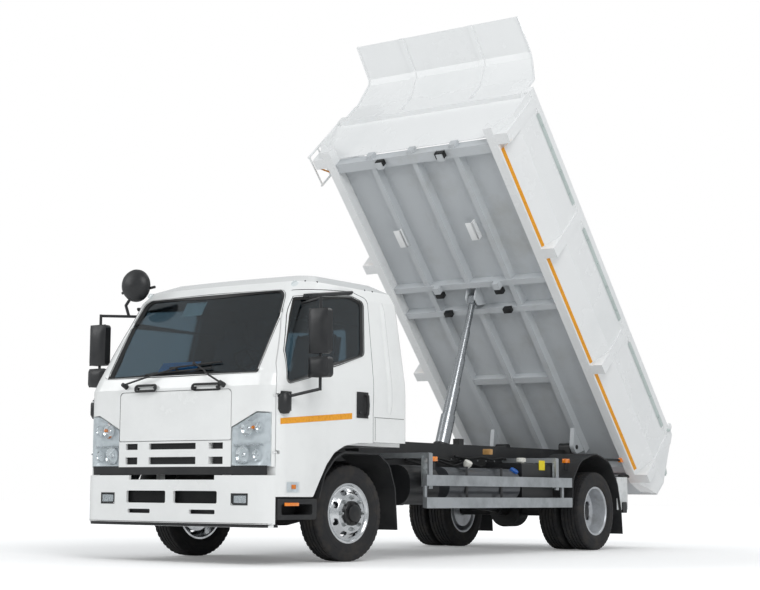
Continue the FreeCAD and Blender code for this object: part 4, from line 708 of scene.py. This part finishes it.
# smoother, darker moulding than the steps
mirror_plastic = surface("plastic_black_satin", "1e1f21", "2a2b2c", 0.38, patch=0.2, grain=0.0015,
                         relief=0.0002)
finish_cad(mirror_plastic, "left_mirrors", "right_mirrors")
MIRRORS = [(1.75, 2.13), (1.55, 1.722)]  # lower and upper edge of the main and the wide mirror
MIRROR_IN, MIRROR_OUT, MIRROR_RIM = 1.19, 1.39, 0.018
SIDE_LAMP = [  # piece, front and rear, low and high, lift
    ("tray", (-1.05, -0.89), (0.598, 0.68), 0.002),
    ("lens", (-1.055, -0.885), (0.594, 0.684), 0.012),
    ("amber", (-0.99, -0.93), (0.625, 0.66), 0.006),
]
KERB_MIRROR = [(-0.09, 0.001), (-0.085, 0.04), (-0.05, 0.06), (0.05, 0.06), (0.085, 0.04), (0.09, 0.001)]
for side, name in ((1, "left"), (-1, "right")):
    body = name + "_door"
    aim = Vector((-side, 0, 0))
    skin = caster(name + "_door", name + "_door_glass", "cab_shell", "headlamps")
    pane = caster(name + "_door_glass")

    def beside(y, z, side=side):
        return Vector((side * 3, y, z))

    def flank(y, z, lift=0.0):
        """Point on the cab's side, y counted from the front axle; steps over the shut gaps."""
        for step in (0.0, -0.009, 0.009, -0.018):
            spot, _ = skin(beside(AXLE_Y + y, z + step), aim)
            if spot is not None and spot.x * side > 0.6:
                return Vector((spot.x, spot.y, z)) - aim * lift

    middle = (AXLE_Y - 0.55, 1.93)
    outline = rim(pane, beside, aim, middle, 1.0, 200, lambda p: True)
    band(name + "_window_seal", seal_rubber, body, skin, beside, aim, middle, outline,
         -0.026, 0.012, 0.005)

    stripe = bmesh.new()
    rows = [[flank(-1.125 + 0.99 * k / 24, (1.156 + 0.05 * edge) + (0.081 + 0.002 * edge) * k / 24)
             for k in range(25)] for edge in (0, 1)]
    draped(stripe, rows, 0.0018, aim)
    finish(stripe, name + "_door_stripe", stripe_tape, body)

    pull = bmesh.new()
    draped(pull, patch_rows(lambda y, z: flank(y, z, 0.004), (-0.07, 0.106), (1.25, 1.48), 6, 6), 0.0, aim)
    tube(pull, [flank(0.06, z, lift) for z, lift in
                ((1.275, 0.0), (1.285, 0.03), (1.36, 0.036), (1.445, 0.03), (1.455, 0.0))], 0.014)
    rod(pull, flank(-0.02, 1.30, 0.0), flank(-0.02, 1.30, 0.012), 0.018, 0.016)
    finish(pull, name + "_door_handle", black_plastic, body)

    for (part, across, up, lift), mat in zip(SIDE_LAMP, (tray_grey, lamp_lens, amber)):
        bm = bmesh.new()
        draped(bm, patch_rows(lambda y, z: flank(y, z, lift), across, up, 4, 3), 0.0, aim)
        finish(bm, "%s_side_lamp_%s" % (name, part), mat, body)

    deflector = bmesh.new()
    for lift, radius in ((0.02, 0.011), (0.03, 0.013)):
        tube(deflector, [flank(-0.70 + 0.68 * k / 10, 2.268 + 0.095 * k / 10 + (lift - 0.02), lift)
                         for k in range(11)], radius)
    for y, z in ((-0.66, 2.276), (-0.06, 2.36)):
        rod(deflector, flank(y, z, -0.005), flank(y, z, 0.035), 0.018, 0.015)
    finish(deflector, name + "_wind_deflector", mirror_plastic, body)

    backs = bmesh.new()
    for low, high in MIRRORS:
        x0, x1 = MIRROR_IN + MIRROR_RIM, MIRROR_OUT - MIRROR_RIM
        box(backs, (min(side * x0, side * x1), AXLE_Y - 0.836, low + MIRROR_RIM),
            (max(side * x0, side * x1), AXLE_Y - 0.8325, high - MIRROR_RIM))
    finish(backs, name + "_mirror_glass", mirror_glass, body)
    shells = bmesh.new()
    for low, high in MIRRORS:
        rows = [[Vector((side * (MIRROR_IN + 0.2 * i / 8),
                         AXLE_Y - 0.903 - 0.03 * (1 - (i / 4 - 1) ** 4) * (1 - (k / 4 - 1) ** 4),
                         low + (high - low) * k / 8)) for i in range(9)] for k in range(9)]
        draped(shells, rows, 0.0, FROM_FRONT)
    finish(shells, name + "_mirror_shells", mirror_plastic, body, angle=80)
    kerb = bmesh.new()
    lathe(kerb, (side * 1.085, AXLE_Y - 1.09, 1.33), (0, 0, 1), KERB_MIRROR, 24)
    finish(kerb, name + "_kerb_mirror", mirror_plastic, body)

dome = bmesh.new()
spot = Vector((-0.843, AXLE_Y - 0.88, 2.47))
look = Vector((0.15, -1, -0.05)).normalized()
lathe(dome, spot, look, [(-0.03, 0.001), (-0.03, 0.14), (-0.02, 0.15), (0.0, 0.15), (0.03, 0.137),
                         (0.06, 0.10), (0.078, 0.05), (0.082, 0.001)], 48)
tube(dome, [spot + look * -0.03, (-0.92, AXLE_Y - 0.83, 2.40), (-1.0, AXLE_Y - 0.84, 2.3),
            (-1.0, AXLE_Y - 0.80, 2.21)], 0.014)
tube(dome, [(-1.06, AXLE_Y - 0.83, 2.42), (-0.92, AXLE_Y - 0.83, 2.42), (-0.65, AXLE_Y - 0.83, 2.45)], 0.013)
finish(dome, "round_mirror", mirror_plastic, "right_door")

steps_amber = bmesh.new()
for side in (-1, 1):
    x = side * 1.0765
    box(steps_amber, (x - 0.0035, AXLE_Y - 1.06, 0.485), (x + 0.0035, AXLE_Y - 0.87, 0.512))
finish(steps_amber, "step_markers", amber, "chassis", bevel=0.001)

# ---------------------------------------------------------------- cab sides and roof fittings
# Clear marker lamps on the roof's edge, plugs in the drip rail, and pressed beads with their
# seams on the fixed side panels behind the doors.
shell_skin = caster("cab_shell", "left_door", "right_door")


def roof(start, aim):
    """Skin of the shell along a ray, or just below it where the ray passes over."""
    for step in range(12):
        spot, normal = shell_skin(Vector(start) - Vector((0, 0, 0.01 * step)), aim)
        if spot is not None and spot.x * aim.x < 0:
            return spot, normal
    return None, None


roof_lamps, roof_dots = bmesh.new(), bmesh.new()
for side in (-1, 1):
    aim = Vector((-side, 0, 0))
    spot = roof((side * 3, AXLE_Y - 0.66, 2.39), aim)[0]
    if spot is not None:
        place = Matrix.Translation(spot)
        made = bmesh.ops.create_icosphere(roof_lamps, subdivisions=3, radius=0.03, matrix=place)["verts"]
        for v in made:
            v.co = spot + Vector(((v.co.x - spot.x) * 0.8, (v.co.y - spot.y) * 1.5, (v.co.z - spot.z) * 1.0))
    for y in (-0.58, -0.47, 0.24, 0.36):
        spot = roof((side * 3, AXLE_Y + y, 2.42), aim)[0]
        if spot is not None:
            rod(roof_dots, spot + aim * 0.004, spot - aim * 0.003, 0.008, 0.007, 10)
finish(roof_lamps, "roof_markers", lamp_lens, "cab")
finish(roof_dots, "roof_plugs", black_plastic, "cab")

beads = bmesh.new()
for side in (-1, 1):
    aim = Vector((-side, 0, 0))
    rows = []
    for k in range(25):
        z = 1.30 + 1.02 * k / 24
        end = min(1, min(k, 24 - k) / 1.5)  # runs out at both ends
        row = []
        for i in range(7):
            y = 0.445 + (i - 3) * 0.013 * (0.4 + 0.6 * end)
            spot = roof((side * 3, AXLE_Y + y, z), aim)[0]
            row.append(spot - aim * (0.017 * (1 - ((i - 3) / 3) ** 2) * end + 0.0005))
        rows.append(row)
    draped(beads, rows, 0.0, aim)
finish(beads, "cab_side_beads", white_paint, "cab", angle=70)
seams = bmesh.new()
for side in (-1, 1):
    aim = Vector((-side, 0, 0))
    across = [[roof((side * 3, AXLE_Y + 0.20 + 0.52 * k / 10, z), aim)[0] for k in range(11)]
              for z in (1.262, 1.266)]
    upright = [[roof((side * 3, AXLE_Y + y, 1.06 + 0.2 * k / 10), aim)[0] for k in range(11)]
               for y in (0.214, 0.219)]
    for rows in (across, upright):
        draped(seams, rows, 0.0012, aim)
finish(seams, "cab_side_seams", seal_rubber, "cab")

# ---------------------------------------------------------------- seats
# Sprung foam pads under woven grey cloth on steel pedestals; a driver's seat and a double one.
# Each pad is crowned, pulled in between its corners and leans as the real back does.

# woven cloth, dull, with a fine weave
grey_cloth = surface("cloth_grey", "4a4d52", "3b3d42", 0.9, patch=0.05, grain=0.0012, relief=0.0006)


def pad(bm, middle, size, lean, crown):
    """Closed stuffed form: half sizes across, deep and thick; its crown stands on the thick side."""
    before_it = len(bm.verts)
    made = bmesh.ops.create_cube(bm, size=2)["verts"]
    edges = list({e for v in made for e in v.link_edges})
    bmesh.ops.subdivide_edges(bm, edges=edges, cuts=9, use_grid_fill=True)
    turn = Matrix.Rotation(lean, 3, "X")
    for v in list(bm.verts)[before_it:]:
        a, b, c = v.co
        pull = 1 - 0.035 * (1 - c * c)
        soft = (1 - a ** 4) * (1 - b ** 4)
        form = Vector((a * size[0] * pull * (1 - 0.05 * b ** 4), b * size[1] * pull * (1 - 0.04 * a ** 4),
                       c * size[2] * (0.72 + 0.28 * soft) + (crown * soft if c > 0.9 else 0)))
        v.co = Vector(middle) + turn @ form


PADS = [  # y and z of the middle, half depth, half thickness, lean in degrees, crown
    (-0.25, 1.375, 0.265, 0.06, 3, 0.018),
    (0.07, 1.70, 0.33, 0.055, 76, 0.02),
]
SEATS = [(0.5, 0.48, 1), (-0.33, 0.76, 2)]  # middle, width, places
bases = bmesh.new()
for seat, (x, width, places) in enumerate(SEATS):
    pads = bmesh.new()
    middles = [x - width / 2 + width * (place + 0.5) / places for place in range(places)]
    for mid in middles:
        for y, z, deep, thick, lean, crown in PADS:
            size = (width / places / 2 - 0.008, deep, thick)
            pad(pads, (mid, AXLE_Y + y, z), size, math.radians(lean), crown)
    for mid in middles:  # head rests
        pad(pads, (mid, AXLE_Y + 0.185, 2.10), (0.12, 0.09, 0.04), math.radians(78), 0.01)
    box(bases, (x - width / 2 + 0.04, AXLE_Y - 0.4, 1.07), (x + width / 2 - 0.04, AXLE_Y - 0.02, 1.32))
    cover = finish(pads, "seat_pads_%d" % seat, grey_cloth, "cab", angle=60)
pedestals = finish(bases, "seat_pedestals", dash_plastic, "cab", bevel=0.008)
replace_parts(pedestals, "seats")

# loose blank sheet and card behind the windscreen
paper = surface("paper_white", "eef0ea", "dfe2da", 0.8, patch=0.05, grain=0.001)
blue_card = surface("card_blue", "3fa0e0", "2f8fd2", 0.7, patch=0.05, grain=0.001)
sheet = bmesh.new()
draped(sheet, patch_rows(lambda x, z: face(x, z, -0.03), (-0.33, -0.08), (2.17, 2.30), 3, 3), 0.0, FROM_FRONT)
finish(sheet, "screen_paper", paper, "cab")
card = bmesh.new()
rows = [[face(-0.30 + 0.45 * i / 4, 1.636 + 0.05 * k, -0.02 - 0.01 * k) for i in range(5)] for k in range(3)]
draped(card, rows, 0.0, FROM_FRONT)
finish(card, "dash_card", blue_card, "cab")

# ---------------------------------------------------------------- tipping bed
# Welded steel sheet body on folded bearers, gloss white outside; underneath, the same white is painted pale grey as
# shade.
# It tips on two pins at its rear; tape, pins, rests and guide plates are fixed to it, and sheets of painted shade lie
# under its top rails.

# bright gloss white
bed_white = surface("steel_bed_white", "f4f5f5", "eceeee", 0.26, patch=0.9, grain=0.006, relief=0.00002,
                    share=0.5, **{"Coat Weight": 0.3})
# painted shade: the bed's white made flat pale grey, as it looks in shadow underneath; dulled in patches
bed_shaded_underside = surface("steel_bed_underside_painted_shade", "c6cacd", "b7b9b8", 0.5, patch=0.5, grain=0.004, relief=0.0002,
                    share=0.52)
# painted shade: the bed's white made grey-green as it looks in shadow, for the recess under the top rail, the pins and
# the latch
bed_painted_shade = surface("steel_bed_painted_shade", "c3cecb", "b2bdba", 0.4, patch=0.3, grain=0.004)
finish_cad(bed_white, "bed_left_side", "bed_right_side", "bed_headboard", "tailgate", "bed_ladder")
# painted shade: floor and underframe take the pale grey of the shaded underside
finish_cad(bed_shaded_underside, "bed_floor", "bed_underframe")

TILT = math.radians(48.1)
HINGE_Y, HINGE_Z = AXLE_Y + 4.952, 1.133
OVERHANG, EDGE_RISE = 0.608, 0.08  # the bed's rear end behind its hinge, and its lower edge over it


def on_bed(x, along, up_from):
    """World point from bed measures: along from the rear end forwards, up from the lower edge."""
    s, h = along - OVERHANG, up_from + EDGE_RISE
    return Vector((x, HINGE_Y - s * math.cos(TILT) + h * math.sin(TILT),
                   HINGE_Z + s * math.sin(TILT) + h * math.cos(TILT)))


def bed_block(bm, low, high):
    """Block whose edges run with the bed."""
    for v in box(bm, low, high):
        v.co = on_bed(*v.co)


POSTS = [0.1, 1.64, 3.2, 4.66]  # the side's upright posts, from its rear end
STRIPE, RAIL_SHADE = (0.012, 0.047, 0.075, 0.002), (0.66, 0.712, 0.16, 0.0025)  # low, high, margin, lift
stripes, rail_shade_sheets, pins = bmesh.new(), bmesh.new(), bmesh.new()
for side, name in ((1, "left"), (-1, "right")):
    skin = caster("bed_%s_side" % name)
    aim = Vector((-side, 0, 0))

    def wall(along, up_from, lift=0.0):
        spot = skin(on_bed(side * 3, along, up_from), aim)[0]
        return None if spot is None else spot - aim * lift

    for first, last in zip(POSTS, POSTS[1:]):
        for bm, (low, high, margin, lift) in ((stripes, STRIPE), (rail_shade_sheets, RAIL_SHADE)):
            rows = [[wall(first + margin + (last - first - 2 * margin) * k / 16, h) for k in range(17)]
                    for h in (low, high)]
            if all(p is not None for row in rows for p in row):
                draped(bm, rows, lift, aim)
        for k in range(4):
            spot = wall(first + 0.3 + (last - first - 0.6) * k / 3, 0.686)
            if spot is not None:
                rod(pins, spot, spot - aim * 0.02, 0.009, 0.009, 8)
    for along, up_from in ((0.14, 0.76), (4.78, 0.76)):
        spot = wall(along, up_from)
        if spot is not None:
            rod(pins, spot, spot - aim * 0.03, 0.02, 0.014)
    latch = [on_bed(side * 1.16, -0.10, 0.585), on_bed(side * 1.16, -0.30, 0.50)]
    rod(pins, latch[0], latch[1], 0.018, 0.018)
    rod(pins, latch[1], latch[1] + Vector((-side * 0.06, 0, 0)), 0.026, 0.026)
finish(stripes, "bed_stripes", stripe_tape, "bed")
# painted shade: grey-green sheets along the recess under the top rail stand for its shadow
finish(rail_shade_sheets, "bed_rail_painted_shade", bed_painted_shade, "bed")
# painted shade: the pins and the latch rod take the same shaded white
finish(pins, "bed_pins", bed_painted_shade, "bed")

pads, plates = bmesh.new(), bmesh.new()
for side in (-1, 1):  # rubber rests under the long bearers
    for along in (2.52, 2.78, 4.55):
        bed_block(pads, (side * 0.385 - 0.05, along - 0.03, -0.035), (side * 0.385 + 0.05, along + 0.03, 0.03))
for x in (-0.57, 0.365):  # guide plates that centre the bed as it comes down
    bed_block(plates, (x - 0.045, 3.46, -0.012), (x + 0.045, 3.68, 0.0))
    bed_block(plates, (x + 0.03, 3.46, -0.012), (x + 0.045, 3.68, 0.06))
finish(pads, "bed_rest_pads", seal_rubber, "bed", bevel=0.006)
finish(plates, "bed_guide_plates", bed_white, "bed", bevel=0.002)

# ---------------------------------------------------------------- hoist
# Five-stage telescopic ram: hard-chromed sleeves out of a black cylinder on trunnions.
# Ground and plated steel tube, each sleeve sealed in the next larger one.

# oiled bright metal, not quite a mirror
chrome = surface("steel_hard_chrome", "a6a9ac", "94979a", 0.24, patch=0.06, grain=0.001, relief=0.00005,
                 metallic=1.0)
finish_cad(hub_black, "hoist_barrel")
finish_cad(chrome, *["hoist_stage_%d" % i for i in range(1, 6)])

# ---------------------------------------------------------------- floor, light and camera
# Pale seamless floor, painted and matt, under soft overhead panels. The eye stands low, well
# ahead of the cab and to its left.


def studio(name, base, speckle, lift):
    """Backdrop paint; a little of its own light, seen by the camera alone, keeps it pale."""
    mat, place = blank(name)
    speck = add(mat, "TexNoise", {"Scale": 40.0, "Detail": 2.0}, [("Vector", place, "Object")])
    tint = add(mat, "Mix", {"data_type": "RGBA", 6: colour(base), 7: colour(speckle)}, [(0, speck, "Fac")])
    path = add(mat, "LightPath")
    away = add(mat, "VectorMath", {"operation": "LENGTH"}, [(0, place, "Object")])
    rise = add(mat, "MapRange", {"From Min": 3.5, "From Max": 10.0, "To Min": 0.16, "To Max": lift},
               [("Value", away, "Value")])
    glow = add(mat, "Math", {"operation": "MULTIPLY"}, [(0, path, "Is Camera Ray"), (1, rise, "Result")])
    shader = add(mat, "BsdfPrincipled", {"Roughness": 0.9, "Emission Color": colour("ffffff")},
                 [("Base Color", tint, 2), ("Emission Strength", glow, "Value")])
    add(mat, "OutputMaterial", (), [("Surface", shader, "BSDF")])
    return mat


ground = bmesh.new()
bmesh.ops.create_grid(ground, x_segments=2, y_segments=2, size=60)
floor = placed(ground, "studio_floor", studio("floor_pale", "f7f7f7", "f3f3f3", 0.6))
floor.location = (0, 0, -0.002)

world = bpy.data.worlds.new("studio")
bpy.context.scene.world = world
world.use_nodes = True
world.node_tree.nodes.clear()
light = add(world, "Background", {"Color": (0.95, 0.98, 1.0, 1), "Strength": 0.55})
backdrop = add(world, "Background", {"Color": (1, 1, 1, 1), "Strength": 1.0})  # what the camera sees
path = add(world, "LightPath")
mix = add(world, "MixShader", (), [(0, path, "Is Camera Ray"), (1, light, 0), (2, backdrop, 0)])
add(world, "OutputWorld", (), [("Surface", mix, 0)])

LAMPS = [  # place, aim, size, power
    ((9, -9, 9), (0, -1.5, 1.4), 6, 620),
    ((-8, -10, 7), (0, -1.5, 1.2), 6, 300),
    ((2, 6, 11), (0, 0, 2), 7, 320),
]
for i, (place, aim, size, power) in enumerate(LAMPS):
    data = bpy.data.lights.new("panel_%d" % i, "AREA")
    data.shape, data.size, data.energy = "SQUARE", size, power
    lamp = bpy.data.objects.new("panel_%d" % i, data)
    lamp.location = place
    lamp.rotation_euler = (Vector(aim) - Vector(place)).to_track_quat("-Z", "Y").to_euler()
    bpy.context.scene.collection.objects.link(lamp)

EYE = (9.4845, AXLE_Y - 11.6606, 0.5979)
AZIMUTH, RISE, ROLL = 0.640538, 0.141945, 0.007191  # radians
toward = Vector((-math.sin(AZIMUTH) * math.cos(RISE), math.cos(AZIMUTH) * math.cos(RISE), math.sin(RISE)))
right = toward.cross(Vector((0, 0, 1))).normalized()
up = right.cross(toward)
right, up = (math.cos(ROLL) * right + math.sin(ROLL) * up, math.cos(ROLL) * up - math.sin(ROLL) * right)
view = bpy.data.cameras.new("view")
view.sensor_width = 36
view.lens = 76.857
view.shift_x, view.shift_y = 0.0584, -0.0451
view.clip_end = 200
camera = bpy.data.objects.new("camera", view)
camera.matrix_world = Matrix.Translation(EYE) @ Matrix((right, up, -toward)).transposed().to_4x4()
bpy.context.scene.collection.objects.link(camera)
bpy.context.scene.camera = camera
bpy.context.scene.view_settings.view_transform = "Standard"
